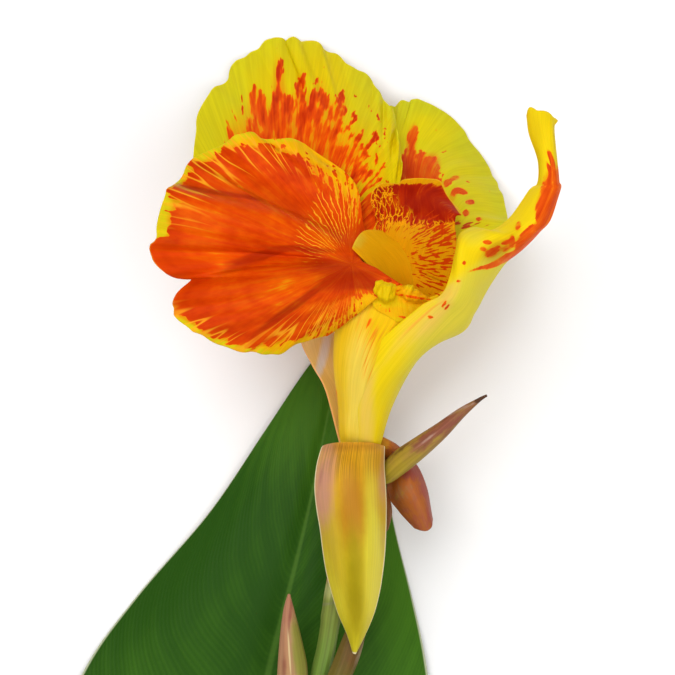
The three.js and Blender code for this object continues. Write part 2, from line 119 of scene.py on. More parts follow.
LABELLUM: Rows = (
    ((4, -27.5, 36.2), (6, -27.5, 37.6), (8.5, -27.5, 37), (9.5, -27.5, 36), (10.5, -28, 33.5)),
    ((2.5, -15.5, 42.6), (7, -15.5, 45.8), (10.8, -15.5, 45), (13, -16, 42.5), (14, -16.5, 38.5)),
    ((8.5, -3, 52.8), (14, -4, 54.6), (18.3, -5, 53), (20, -5, 50), (21.5, -3.5, 45.5)),
    ((20, 7.5, 60.5), (23.5, 6.2, 61.5), (26.5, 4.5, 59.5), (29.5, 2.5, 55.5), (31, 1.5, 50.5)),
    ((24.8, 10, 62.6), (27.4, 9.3, 64.3), (30.4, 8, 62), (33, 6.8, 57.5), (33.8, 6.2, 52.3)),
    ((27, 13.8, 64.2), (29.2, 13.2, 66), (32.2, 12, 63.8), (34.8, 11.5, 59), (36.5, 11, 54)),
    ((28.8, 20.4, 62.8), (29.8, 20.9, 67), (34, 19, 65), (38.5, 17.5, 60), (41, 18, 55)),
    ((29.6, 25, 61), (31.3, 24.3, 65.2), (36.5, 22, 64.8), (41.2, 20.2, 61), (43.8, 20.3, 56.8)),
    ((33.4, 26.8, 58.6), (35.3, 26, 62.6), (39.7, 23.8, 64), (44, 22.3, 62), (46.5, 22.8, 58)),
    ((37.4, 26.2, 57), (39.6, 26.2, 60.6), (43.6, 25.9, 62.6), (47.2, 25.2, 61.6), (49.6, 26, 58)),
    ((42.5, 29.5, 56), (44.5, 29, 60), (47.5, 29, 62), (50, 28.5, 61), (52.5, 29.5, 58)),
    ((47.2, 36.2, 55), (49, 36, 59), (51, 36, 60), (53.4, 36, 59), (54.7, 36.5, 56)),
    ((49.2, 38, 55), (50, 38, 58.6), (51.7, 38, 59.6), (53.5, 38, 58.8), (54.6, 38.5, 56)),
    ((49.5, 43, 54), (50.5, 43, 57), (52, 43, 58), (53, 43, 58), (54, 43, 56)),
    ((47.5, 50.5, 51), (49, 50.5, 54), (50.5, 51, 56), (52.5, 51, 56), (53.5, 51, 54)),
    ((47, 55.5, 49), (48, 57, 51), (50.5, 56, 53), (53, 55, 53), (54.5, 53.5, 52)),
)
STYLE: Rows = (
    ((14.5, 10, 50), (16, 10.8, 45.5), (18.5, 11.5, 41.8), (22, 12, 39.6)),
    ((9, 16.5, 51), (12, 18.5, 46.3), (15.5, 20, 43.2), (20, 20.5, 40.8)),
    ((3.5, 22, 54.5), (5, 25, 52.5), (7.5, 26.8, 49), (13.5, 26.5, 41.5)),
)
MOUTH_FOLD: Rows = (
    ((8, 9.4, 56.2), (9.4, 6.9, 56.5), (11.6, 5.6, 56.7), (13.6, 4.4, 56.8), (15.2, 3.6, 56.5), (17.2, 4.5, 56.7),
     (19.2, 5.3, 56.3), (21.2, 6.7, 56), (23, 8, 55.4)),
    ((9, 11.2, 57), (10.2, 9.2, 56.6), (11.9, 8.5, 56.6), (13.4, 8.7, 56.8), (14.6, 9.8, 57), (16.3, 9.2, 56.6),
     (18.3, 8.5, 56.3), (20.5, 8.7, 56), (22.9, 8.9, 55.6)),
    ((9, 12, 58.4), (10.3, 10.2, 59.6), (11.9, 9.5, 60.4), (13.5, 9.8, 59.4), (14.7, 10.8, 57.8),
     (16.4, 10.2, 58.8), (18.4, 9.3, 58.2), (20.6, 9.2, 57.2), (22.9, 9.1, 56.2)),
    ((9.2, 13.4, 58.6), (10.8, 12.6, 59.4), (12.4, 12.2, 60.4), (14, 12, 59), (15.4, 11.6, 58), (16.9, 11.9, 59.2),
     (18.7, 10.9, 58.2), (20.8, 10, 57), (22.9, 9.3, 56)),
    ((9.7, 14.5, 57.4), (11.7, 14.4, 57.8), (13.8, 13.9, 58), (15.6, 13.1, 57.4), (16.5, 12.5, 57.2),
     (17.8, 12.9, 57.2), (19.3, 11.9, 56.6), (21.2, 10.6, 55.8), (22.9, 9.5, 55.4)),
)
# stations of the front petal: square down the board, left and right edge, heights of edge and crest, droop
FRONT_STATIONS = (
    (442.5, 323.5, 384, 34, 41, 4), (449, 321.5, 384, 34.3, 42, 1), (466, 317.2, 383.8, 35, 44.3),
    (487, 315, 385.3, 35, 45.4), (508, 316.8, 386.2, 34.6, 45.6), (529, 320.3, 386, 34, 45),
    (550, 323, 384.9, 33, 43.4), (571, 326.4, 382.6, 32, 41.4), (592, 331.6, 379.5, 31, 38.4),
    (613, 338, 373.9, 29.8, 34.6), (634, 347.3, 365, 28.4, 30.8), (654, 353.8, 355.2, 27, 27.2),
)
PETAL_RIGHT: Rows = (
    ((6.5, -24, 28), (7, -26, 29), (7.5, -28, 29), (7.5, -30, 28), (7, -32, 26)),
    ((11, -25.5, 30), (12.5, -26.5, 30.5), (13, -28, 30.5), (12.5, -30, 29), (11.5, -31.5, 27.5)),
    ((15, -28, 25), (16.5, -29.5, 27), (16, -32, 27.5), (14.5, -34, 26.5), (12.5, -36.5, 23.5)),
    ((20.5, -33, 24), (19.5, -35.5, 28), (18.5, -38, 29), (16, -40, 27.5), (13.5, -41.5, 23)),
    ((23, -39, 25), (22, -41, 29), (20.5, -42.5, 30), (18.5, -44, 28.5), (16, -45, 24)),
    ((24.5, -47, 26), (24, -48.5, 27.5), (23, -49.5, 28), (21.5, -49.5, 27.5), (20, -49, 26)),
)
PETAL_LEFT: Rows = (
    ((2.6, -30.6, 30.2), (3.6, -30.8, 29.6), (4.8, -30.6, 29.8)),
    ((0.5, -26.5, 28), (2, -27, 26), (4, -26.5, 26)),
    ((-3, -13.5, 31), (0, -14.5, 27), (3, -13.5, 26)),
    ((-6.5, -7, 33), (-3.5, -7.5, 29.5), (0.5, -6.5, 28)),
    ((-9.5, 0, 34), (-5.5, 2, 31.5), (-1, 2, 31)),
    ((-8, 10.5, 35), (-6, 11.5, 34), (-3.5, 10.5, 33)),
)
BRACT_LOWER: Rows = (
    ((-9.5, -103.5, 23), (-8, -104, 23), (-6, -103.5, 22), (-4, -103, 19)),
    ((-6.5, -95.5, 24.5), (-4.5, -96, 25), (-2, -95.5, 24), (-1, -95, 20.5)),
    ((-2.5, -86.5, 25.5), (0, -86.5, 27), (3, -86.5, 26), (4, -86.5, 23)),
    ((1, -78, 24.5), (3, -78, 25.5), (5.5, -77.5, 25), (7, -77, 22.5)),
    ((5, -69, 23.5), (5.5, -68.5, 24), (6.5, -69, 23.5)),
)
SEPAL_RIGHT: Rows = (
    ((7, -32, 28), (7.8, -32.8, 28.5), (8.4, -33.6, 28)),
    ((9, -33.5, 24.5), (10.5, -34.5, 26), (11, -36, 25)),
    ((10.5, -39, 25), (12, -39.5, 26), (12.5, -39, 24.5)),
    ((12, -45, 24.5), (13, -45, 25.5), (14, -44.5, 24)),
    ((12, -50, 24), (12.5, -50, 24.5), (13, -49.5, 24)),
)
SEPAL_LEFT: Rows = (
    ((0.6, -30.4, 33.4), (0.2, -31, 32), (0.4, -32, 30.2)),
    ((-1.5, -30, 34.5), (-2.5, -31, 33), (-2.5, -33, 30)),
    ((-3, -37.5, 34.5), (-4, -38, 32), (-4, -38, 28.5)),
    ((-3, -43, 33.5), (-3.5, -43.5, 32), (-4, -43, 29)),
    ((-2.5, -48, 32), (-2.5, -48.5, 31.5), (-3, -48, 31)),
)
SEPAL_BACK: Rows = (
    ((3.6, -31.6, 28.8), (5, -31.6, 28.2), (6.4, -31.6, 28.6)),
    ((2, -28, 25.5), (4, -28, 24.5), (7, -28, 25)),
    ((2, -22.5, 22.5), (5, -22.5, 21.5), (7.5, -22.5, 22)),
    ((3, -17, 20), (5.5, -16.5, 19.5), (7.5, -17, 20)),
    ((5, -12, 19), (5.5, -12, 19), (6, -12, 19)),
)
# stations of the limbs: centre x, y, z and radius
STEM = (
    (3.6, -41.5, 29, 2.1), (3, -44.5, 28.5, 2.4), (1.5, -53, 27, 2.4), (0, -61, 25.5, 2.5), (-1, -67.5, 24.5, 2.7),
    (-2, -74.5, 23, 2.5), (-3, -80.5, 22, 2.5), (-4.5, -87.5, 21, 2.6), (-9, -110, 17.5, 2.8),
    (-13.5, -136.5, 13.5, 3), (-18, -163.5, 10, 3.1), (-22, -190.5, 7.5, 3.2), (-25, -214.5, 5.5, 3.3),
    (-27, -236, 4.9, 3.4), (-28, -254.5, 4.7, 3.4), (-28.5, -264, 4.7, 3.4),
)
SIDE_BUD = (
    (-12.5, -66, 24, 0.3), (-12.5, -70.5, 24, 1.5), (-12, -78, 24, 2.9), (-11.5, -86, 24, 3.9),
    (-12, -93.5, 23.5, 3.6), (-12.5, -101, 22.5, 2.3), (-12.5, -106.5, 21, 1.6), (-10.5, -112.5, 19, 1.4),
)
BRACT_RIGHT = (
    (11, -36.5, 28.5, 1.2), (12.5, -35, 30, 2.4), (16, -31.5, 33.5, 3), (21, -27.5, 37, 2.7),
    (26, -23.5, 39, 2.1), (31, -19, 41, 1.3), (35, -16, 42.5, 0.6), (36.5, -15, 43, 0.4),
    (37.5, -14.5, 43, 0.3),
)
OVARY = (
    (3.2, -44.8, 28.4, 2.3), (3.5, -41.5, 29, 4.4), (4, -38, 30, 5.9), (4.5, -34, 31, 6), (5, -31, 32, 4.9),
    (5, -29.5, 32.2, 3),
)
# sections of the flower tube: centre x, y, z, half width, half depth, tilt in degrees
FLOWER_TUBE = (
    (5, -28.5, 33, 4, 4, 0), (5, -23.5, 35, 4.6, 5, 6), (6, -16, 38, 6, 6.5, 11), (7.5, -7, 42, 8.5, 8.2, 20),
    (10.5, 3, 46, 11.2, 9.8, 34), (14.5, 13, 49, 13.7, 11.5, 49), (17, 19, 49.5, 13.9, 12, 56),
)
# stations of the leaf's blade: y, midrib x, half widths left and right, heights of midrib and both edges
LEAF_BLADE = (
    (2, 2, 0.6, 0.6, 0.9, 0.6, 0.6), (-7.5, 0, 7.5, 8, 3, 1.2, 1.2), (-25, -3.5, 16, 15, 5.5, 2.5, 1.5),
    (-47, -8, 26.5, 22.5, 7.5, 1.5, 0.3), (-69.5, -13.5, 40.5, 33.5, 8.5, 0.3, 1.5),
    (-89.5, -18.5, 49.5, 42.5, 8, 1.2, 3), (-120, -24, 56.5, 51.5, 6, 3, 2.5),
    (-154.5, -28, 57, 54.5, 3.5, 1.5, 0.3), (-189, -28.5, 44, 47.5, 1.2, 5, 3.5),
    (-215.5, -26.5, 23.5, 28.5, 0.6, 9, 8),
)
# stations of the leaf's sheath round the stem: y, x, z, radius, degrees that it reaches round
LEAF_SHEATH = ((-232, -26.5, 6.3, 6, 200), (-245, -27.5, 4.9, 4.6, 260), (-259, -28, 4.8, 4.5, 300))


# ---------------------------------------------------------------- curves and skins
def smooth(low: float, high: float, value: np.ndarray) -> np.ndarray:
    """Smooth step of an array.

    Args:
        low: Value at which the step begins.
        high: Value at which it is complete.
        value: The array.

    Returns:
        Numbers from 0 to 1.
    """
    share = np.clip((value - low) / (high - low), 0.0, 1.0)
    return share * share * (3 - 2 * share)


def blend_knots(knots: np.ndarray, at: np.ndarray, lanes: np.ndarray | None = None) -> np.ndarray:
    """Smooth curve through evenly spaced knots.

    Args:
        knots: Knots in their first axis, points or lanes of points after it.
        at: Shares along the curve, one for each result.
        lanes: Which lane each result follows, where the knots have lanes.

    Returns:
        One point for each share.
    """
    padded = np.concatenate([2 * knots[:1] - knots[1:2], knots, 2 * knots[-1:] - knots[-2:-1]])
    place = at * (len(knots) - 1)
    left = np.clip(np.floor(place).astype(int), 0, len(knots) - 2)
    rest = (place - left)[:, None]
    near = [padded[left + step] if lanes is None else padded[left + step, lanes] for step in range(4)]
    before, start, end, after = near
    return 0.5 * (2 * start + (end - before) * rest + (2 * before - 5 * start + 4 * end - after) * rest**2
                  + (3 * start - before - 3 * end + after) * rest**3)


@dataclass(frozen=True)
class Skin:
    """Smooth surface over rows of guide points, u across and v from the first row to the last."""

    rows: Rows

    def at(self, u: np.ndarray, v: np.ndarray) -> np.ndarray:
        """Points of the surface at shares u and v."""
        lanes = np.array([blend_knots(np.array(row, float), u) for row in self.rows])
        return blend_knots(lanes, v, np.arange(len(u)))

    def directions(self, u: np.ndarray, v: np.ndarray) -> tuple[np.ndarray, np.ndarray]:
        """Normal and way to the margin at shares u and v.

        Args:
            u: Shares across.
            v: Shares along.

        Returns:
            Unit normals and unit outward directions.
        """
        sideways = self.at(np.minimum(u + SURFACE_STEP, 1), v) - self.at(np.maximum(u - SURFACE_STEP, 0), v)
        ahead = np.minimum(v + SURFACE_STEP, 1)
        outward = self.at(u, ahead) - self.at(u, ahead - 2 * SURFACE_STEP)
        return unit(np.cross(sideways, outward)), unit(outward)


def unit(vectors: np.ndarray) -> np.ndarray:
    """Vectors scaled to a length of one."""
    return vectors / np.maximum(np.linalg.norm(vectors, axis=1, keepdims=True), LEAST_LENGTH)


def board_scale(height: float | np.ndarray) -> float | np.ndarray:
    """Millimetres that a square of the drawing board covers at a height."""
    return SQUARE * (EYE - height) / (EYE - BOARD_LEVEL)


def from_board(x: float, y: float, height: float) -> tuple[float, float, float]:
    """Point at a height under a square of the drawing board."""
    scale = board_scale(height)
    return (x - BOARD_MIDDLE) * scale, (BOARD_MIDDLE - y) * scale, height


def hooded(station: tuple[float, ...]) -> list[tuple[float, float, float]]:
    """Row of guide points over a hood, from its left edge over its crest to its right edge.

    Args:
        station: Square down the board, left and right edges, heights of the edges and the crest, and how many
            squares its corners droop.

    Returns:
        One point for each share of a hood.
    """
    down, left, right, edge, crest, *droop = station
    row = []
    for share in HOOD_SHARES:
        across = (left + right + share * (right - left)) / 2
        height = edge + (crest - edge) * (1 - abs(share) ** HOOD_ROUNDING)
        row.append(from_board(across, down + sum(droop) * share**4, height))
    return row


def to_board(points: np.ndarray) -> np.ndarray:
    """Squares of the drawing board under the eye's view of each point."""
    scale = board_scale(points[:, 2])
    return np.column_stack([points[:, 0] / scale + BOARD_MIDDLE, BOARD_MIDDLE - points[:, 1] / scale])


def grain(u: np.ndarray, v: np.ndarray, seed: float) -> np.ndarray:
    """Even, repeatable unevenness from -1 to 1 at each pair of coordinates."""
    return np.array([noise.noise(Vector((a, b, seed))) for a, b in zip(u, v, strict=True)])


# ---------------------------------------------------------------- pigment, painted shade and painted highlight
@dataclass(frozen=True)
class Patch:
    """Soft oval of paint on the drawing board, pigment and painted light and shade alike: middle, half sizes,
    amount, turn and softness of its edge.
    """

    x: float
    y: float
    wide: float
    tall: float
    amount: float
    turn: float = 0.0
    soft: float = 0.5

    def at(self, squares: np.ndarray) -> np.ndarray:
        """Amount of pigment at each place of the board."""
        angle = math.radians(self.turn)
        right, up = squares[:, 0] - self.x, self.y - squares[:, 1]
        along = right * math.cos(angle) + up * math.sin(angle)
        over = up * math.cos(angle) - right * math.sin(angle)
        far = np.hypot(along / self.wide, over / self.tall)
        return self.amount * (1 - smooth(1 - self.soft, 1 + self.soft, far))


@dataclass(frozen=True)
class Channel:
    """One layer of paint over a blade, pigment and painted light and shade alike: an even amount, patches, and
    what its margin, sides and far side add to it.
    """

    base: float = 0.0
    patches: tuple[Patch, ...] = ()
    margin: float = 0.0
    band: float = 0.15
    sides: float = 0.0
    side_band: float = 0.1
    beyond: tuple[float, float, float] = (0.0, 1.0, 0.0)

    def over(self, squares: np.ndarray, u: np.ndarray, v: np.ndarray) -> np.ndarray:
        """Amount at each point.

        Args:
            squares: Places on the drawing board.
            u: Shares across the blade.
            v: Shares along it.

        Returns:
            Amounts, not clipped.
        """
        amount = np.full(len(u), self.base)
        for patch in self.patches:
            amount += patch.at(squares)
        amount += self.margin * smooth(1 - self.band, 1, v)
        edge = np.abs(2 * u - 1)
        start, end, more = self.beyond
        return amount + self.sides * smooth(1 - self.side_band, 1, edge) + more * smooth(start, end, u)


PaintLayers = dict[str, Channel]


def laid(*patches: tuple[float, ...], **others: object) -> Channel:
    """Channel whose patches are given as plain rows of numbers, with its other fields by name."""
    return Channel(patches=tuple(Patch(*patch) for patch in patches), **others)


# ---------------------------------------------------------------- meshes
def alone(obj: bpy.types.Object | None = None) -> None:
    """Leaves nothing selected, or one object selected and active."""
    bpy.ops.object.select_all(action="DESELECT")
    if obj is not None:
        obj.select_set(True)
        bpy.context.view_layer.objects.active = obj


@contextmanager
def editing(obj: bpy.types.Object) -> Iterator[None]:
    """Holds an object in edit mode for as long as a block runs."""
    alone(obj)
    bpy.ops.object.mode_set(mode="EDIT")
    yield
    bpy.ops.object.mode_set(mode="OBJECT")


def pick_edges(obj: bpy.types.Object, wanted: Callable[[int, int], bool]) -> None:
    """Selects some edges of a mesh, and nothing else.

    Args:
        obj: The mesh.
        wanted: Whether the edge between two vertices, given by their numbers, is one of them.
    """
    with editing(obj):
        bpy.ops.mesh.select_mode(type="EDGE")
        bpy.ops.mesh.select_all(action="DESELECT")
    for edge in obj.data.edges:
        edge.select = bool(wanted(*edge.vertices))


def face_outwards(obj: bpy.types.Object) -> None:
    """Turns every face of a closed mesh outwards."""
    with editing(obj):
        bpy.ops.mesh.select_all(action="SELECT")
        bpy.ops.mesh.normals_make_consistent(inside=False)


def vertices_of(obj: bpy.types.Object) -> np.ndarray:
    """Vertices of a mesh as it keeps them."""
    flat = np.zeros(len(obj.data.vertices) * 3)
    obj.data.vertices.foreach_get("co", flat)
    return flat.reshape(-1, 3)


def points_of(obj: bpy.types.Object) -> np.ndarray:
    """Vertices of a mesh in the plant's own axes, in millimetres."""
    return vertices_of(obj) / MM - PLACE


def write_values(obj: bpy.types.Object, name: str, values: np.ndarray) -> None:
    """Keeps one number for each vertex under a name that materials read."""
    attribute = obj.data.attributes.get(name) or obj.data.attributes.new(name, "FLOAT", "POINT")
    attribute.data.foreach_set("value", values.astype(np.float32))


def read_values(obj: bpy.types.Object, name: str) -> np.ndarray:
    """Numbers kept for each vertex under a name."""
    values = np.zeros(len(obj.data.vertices), np.float32)
    obj.data.attributes[name].data.foreach_get("value", values)
    return values.astype(float)


def lay(obj: bpy.types.Object, points: np.ndarray, across: np.ndarray, along: np.ndarray) -> None:
    """Moves a mesh's vertices and keeps their shares.

    Args:
        obj: The mesh.
        points: Places of its vertices in the plant's own axes.
        across: Share of each vertex across the mesh, or round it.
        along: Share of each vertex along it.
    """
    obj.data.vertices.foreach_set("co", ((points + PLACE) * MM).ravel())
    obj.data.update()
    write_values(obj, "across", across)
    write_values(obj, "along", along)


def apply_modifier(obj: bpy.types.Object, kind: str, **settings: object) -> None:
    """Adds a modifier with its settings and applies it.

    Args:
        obj: The object.
        kind: Blender's type of modifier.
        settings: Properties to set on it.
    """
    alone(obj)
    modifier = obj.modifiers.new(kind.lower(), kind)
    for name, value in settings.items():
        setattr(modifier, name, value)
    bpy.ops.object.modifier_apply(modifier=modifier.name)


def named_last(name: str) -> bpy.types.Object:
    """The object just added, under its own name."""
    obj = bpy.context.object
    obj.name = obj.data.name = name
    return obj


def new_grid(name: str, across: int, along: int) -> tuple[bpy.types.Object, np.ndarray, np.ndarray]:
    """Adds a flat grid.

    Args:
        name: Name of the object.
        across: Faces across.
        along: Faces along.

    Returns:
        The object, and each vertex's share across and along.
    """
    alone()
    bpy.ops.mesh.primitive_grid_add(x_subdivisions=across, y_subdivisions=along, size=1.0)
    obj = named_last(name)
    shares = vertices_of(obj) + 0.5
    return obj, shares[:, 0], shares[:, 1]


def new_pipe(name: str, sides: int, loops: int, capped: bool) -> tuple[bpy.types.Object, np.ndarray, np.ndarray]:
    """Adds an upright cylinder whose wall is divided into loops, with its map round and along it.

    Args:
        name: Name of the object.
        sides: Faces round it.
        loops: Faces along it.
        capped: Whether both ends are closed.

    Returns:
        The object, and each vertex's angle in radians and share along.
    """
    alone()
    ends = "NGON" if capped else "NOTHING"
    bpy.ops.mesh.primitive_cylinder_add(vertices=sides, radius=1.0, depth=1.0, end_fill_type=ends)
    obj = named_last(name)
    height = vertices_of(obj)[:, 2]
    pick_edges(obj, lambda start, end: abs(height[start] - height[end]) > 0.5)
    with editing(obj):
        bpy.ops.mesh.subdivide(number_cuts=loops - 1)
    spread_map(obj)
    raw = vertices_of(obj)
    return obj, np.arctan2(raw[:, 1], raw[:, 0]) % (2 * math.pi), raw[:, 2] + 0.5


def spread_map(obj: bpy.types.Object) -> None:
    """Maps an upright cylinder's wall to the whole square: angle across and height along."""
    layer = obj.data.uv_layers[0]
    for face in obj.data.polygons:
        turns = []
        for loop in face.loop_indices:
            x, y, _ = obj.data.vertices[obj.data.loops[loop].vertex_index].co
            turns.append(math.atan2(y, x) / (2 * math.pi) % 1.0)
        wraps = max(turns) - min(turns) > 0.5 and len(turns) == 4
        for loop, turn in zip(face.loop_indices, turns, strict=True):
            z = obj.data.vertices[obj.data.loops[loop].vertex_index].co.z
            layer.uv[loop].vector = (turn + 1.0 if wraps and turn < 0.5 else turn, z + 0.5)


@dataclass(frozen=True)
class Ruffle:
    """Unevenness of a blade: waves and pleats that grow to the margin, scallops cut into it, and crinkles."""

    waves: float = 0.0
    depth: float = 0.0
    start: float = 0.5
    pleats: float = 0.0
    pleat_depth: float = 0.0
    scallops: float = 0.0
    bite: float = 0.0
    crinkle: float = 0.0
    crinkles: tuple[float, float] = (12.0, 5.0)
    seed: float = 1.0

    def shift(self, u: np.ndarray, v: np.ndarray, normal: np.ndarray, outward: np.ndarray) -> np.ndarray:
        """How far each point moves.

        Args:
            u: Shares across.
            v: Shares along.
            normal: Unit normals.
            outward: Unit ways to the margin.

        Returns:
            Shifts in millimetres.
        """
        sway = grain(u * self.waves * 0.6, v * 0, self.seed)
        grown = smooth(self.start, 1, v) * (1 + 0.5 * grain(u * self.waves * 0.4, v * 0, self.seed + 5))
        rise = self.depth * grown * np.sin(2 * math.pi * self.waves * u + 2.4 * sway)
        pleat = self.pleat_depth * smooth(0.15, 0.75, v)
        rise += pleat * grain(u * self.pleats, v * 1.2, self.seed + 11) * 2
        crumple = grain(u * self.crinkles[0], v * self.crinkles[1], self.seed + 23)
        rise += self.crinkle * smooth(-0.1, 0.5, v) * crumple
        nick = np.abs(np.sin(math.pi * (self.scallops * u + 0.35 * sway))) - 0.6
        cut = self.bite * smooth(0.72, 1, v) * nick
        return normal * rise[:, None] + outward * cut[:, None]


@dataclass(frozen=True)
class Outline:
    """Margin of a blade as it is seen from above, in squares of the drawing board.

    Reach is the share of the blade that follows its margin, and limit is the farthest that the margin moves.
    """

    squares: tuple[tuple[float, float], ...]
    reach: float = 0.4
    limit: float = 9.0

    def fitted(self, points: np.ndarray, u: np.ndarray, v: np.ndarray) -> np.ndarray:
        """Moves the margin onto the outline, and what is near the margin along with it.

        Args:
            points: Places of the blade's vertices.
            u: Shares across.
            v: Shares along.

        Returns:
            The new places.
        """
        count = LINE_POINTS * len(self.squares)
        line = blend_knots(np.array(self.squares, float), np.linspace(0, 1, count))
        on_margin = v > 1 - AT_END
        order = np.argsort(u[on_margin])
        places = to_board(points[on_margin])[order]
        nearest = np.array([line[np.argmin(np.hypot(*(line - place).T))] for place in places])
        moves = nearest - places
        moves *= smooth(self.limit, 0.6 * self.limit, np.hypot(*moves.T))[:, None]
        keys = u[on_margin][order]
        scale = board_scale(points[:, 2]) * smooth(1 - self.reach, 1, v)
        moved = points.copy()
        moved[:, 0] += scale * np.interp(u, keys, moves[:, 0])
        moved[:, 1] -= scale * np.interp(u, keys, moves[:, 1])
        return moved


@dataclass(frozen=True)
class Blade:
    """Thin blade of a petal, staminode, bract or leaf.

    Fields give its name, guide rows, faces across and along, thickness at its claw and its margin, how far it
    reaches back past its claw, its unevenness, its seen outline, its paint layers of pigment and painted light and
    shade, the square of the board that its rays fan out from, and for a map that fans out too the degrees that it
    faces and that it spans.
    """

    name: str
    rows: Rows
    across: int
    along: int
    claw_thick: float = 0.6
    edge_thick: float = 0.35
    root: float = 0.0
    ruffle: Ruffle = field(default_factory=Ruffle)
    outline: Outline | None = None
    paint_layers: PaintLayers = field(default_factory=dict)
    middle: tuple[float, float] = THROAT
    fan: tuple[float, float] | None = None

    def fan_map(self, obj: bpy.types.Object) -> None:
        """Lays the map out round the middle."""
        facing, span = self.fan
        squares = to_board(points_of(obj))
        turn = np.degrees(np.arctan2(self.middle[1] - squares[:, 1], squares[:, 0] - self.middle[0])) - facing
        places = np.column_stack([0.5 + ((turn + 180) % 360 - 180) / span, read_values(obj, "along")])
        corners_of = np.zeros(len(obj.data.loops), np.int32)
        obj.data.loops.foreach_get("vertex_index", corners_of)
        obj.data.uv_layers[0].uv.foreach_set("vector", places[corners_of].ravel())

    def build(self) -> bpy.types.Object:
        """Makes the blade's mesh with its map and paint layers."""
        obj, u, v = new_grid(self.name, self.across, self.along)
        skin = Skin(self.rows)
        reach = v * (1 + self.root) - self.root
        points = skin.at(u, reach)
        normal, outward = skin.directions(u, np.clip(reach, 0, 1))
        points += self.ruffle.shift(u, v, normal, outward)
        if self.outline:
            points = self.outline.fitted(points, u, v)
        points[:, 2] = np.maximum(points[:, 2], FLOOR_GAP + self.edge_thick / 2)
        lay(obj, points, u, v)
        thick = obj.vertex_groups.new(name="thick")
        for vertex, share in enumerate(1 - smooth(0, 0.8, v)):
            thick.add([vertex], float(share), "REPLACE")
        apply_modifier(obj, "SOLIDIFY", thickness=self.claw_thick * MM, offset=0.0, vertex_group="thick",
                       thickness_vertex_group=self.edge_thick / self.claw_thick)
        obj.vertex_groups.clear()
        finish_mesh(obj, self.paint_layers, self.middle)
        if self.fan:
            self.fan_map(obj)
        return obj


def finish_mesh(obj: bpy.types.Object, paint_layers: PaintLayers, middle: tuple[float, float] = THROAT) -> None:
    """Subdivides a mesh, shades it smooth and writes its paint layers over it, pigment and painted light and shade
    alike.

    Args:
        obj: The mesh, with its shares across and along.
        paint_layers: Its paint layers by name.
        middle: Square of the board that rays and dashes fan out from.
    """
    apply_modifier(obj, "SUBSURF", levels=1, render_levels=1)
    bpy.ops.object.shade_smooth()
    squares = to_board(points_of(obj))
    u, v = read_values(obj, "across"), read_values(obj, "along")
    for name, channel in paint_layers.items():
        write_values(obj, name, channel.over(squares, u, v))
    if "dash" in paint_layers or "rays" in paint_layers:
        right, up = squares[:, 0] - middle[0], middle[1] - squares[:, 1]
        write_values(obj, "fan", np.arctan2(up, right))
        write_values(obj, "far", np.log(np.maximum(np.hypot(right, up), NEAREST)))


@dataclass(frozen=True)
class Limb:
    """Closed round limb through stations of x, y, z and radius; relief(angle, share) raises its skin."""

    name: str
    stations: Sequence[tuple[float, float, float, float]]
    sides: int
    loops: int
    relief: Callable[[np.ndarray, np.ndarray], np.ndarray] | None = None
    paint_layers: PaintLayers = field(default_factory=dict)

    def build(self) -> bpy.types.Object:
        """Makes the limb's mesh with its map and paint layers."""
        obj, angle, along = new_pipe(self.name, self.sides, self.loops, capped=True)
        knots = np.array(self.stations, float)
        middle = blend_knots(knots, along)
        ahead = np.minimum(along + LIMB_STEP, 1)
        tangent = unit(blend_knots(knots[:, :3], ahead) - blend_knots(knots[:, :3], ahead - 2 * LIMB_STEP))
        right = unit(np.cross(np.array([0.0, 0.0, 1.0]), tangent))
        over = np.cross(tangent, right)
        radius = np.maximum(middle[:, 3], LEAST_RADIUS)
        if self.relief:
            radius = radius * (1 + self.relief(angle, along))
        points = middle[:, :3] + right * (radius * np.cos(angle))[:, None]
        points += over * (radius * np.sin(angle))[:, None]
        points[:, 2] = np.maximum(points[:, 2], FLOOR_GAP)
        lay(obj, points, angle / (2 * math.pi), along)
        face_outwards(obj)
        finish_mesh(obj, self.paint_layers)
        return obj


# ---------------------------------------------------------------- shader nodes
Socket = bpy.types.NodeSocket
Feed = Socket | float | tuple[float, ...]


def linear(colour: Colour) -> tuple[float, float, float, float]:
    """Linear colour for a shader of a colour as screens give it, from 0 to 255."""
    shares = (channel / 255 for channel in colour)
    return (*(c / 12.92 if c <= 0.04045 else ((c + 0.055) / 1.055) ** 2.4 for c in shares), 1.0)


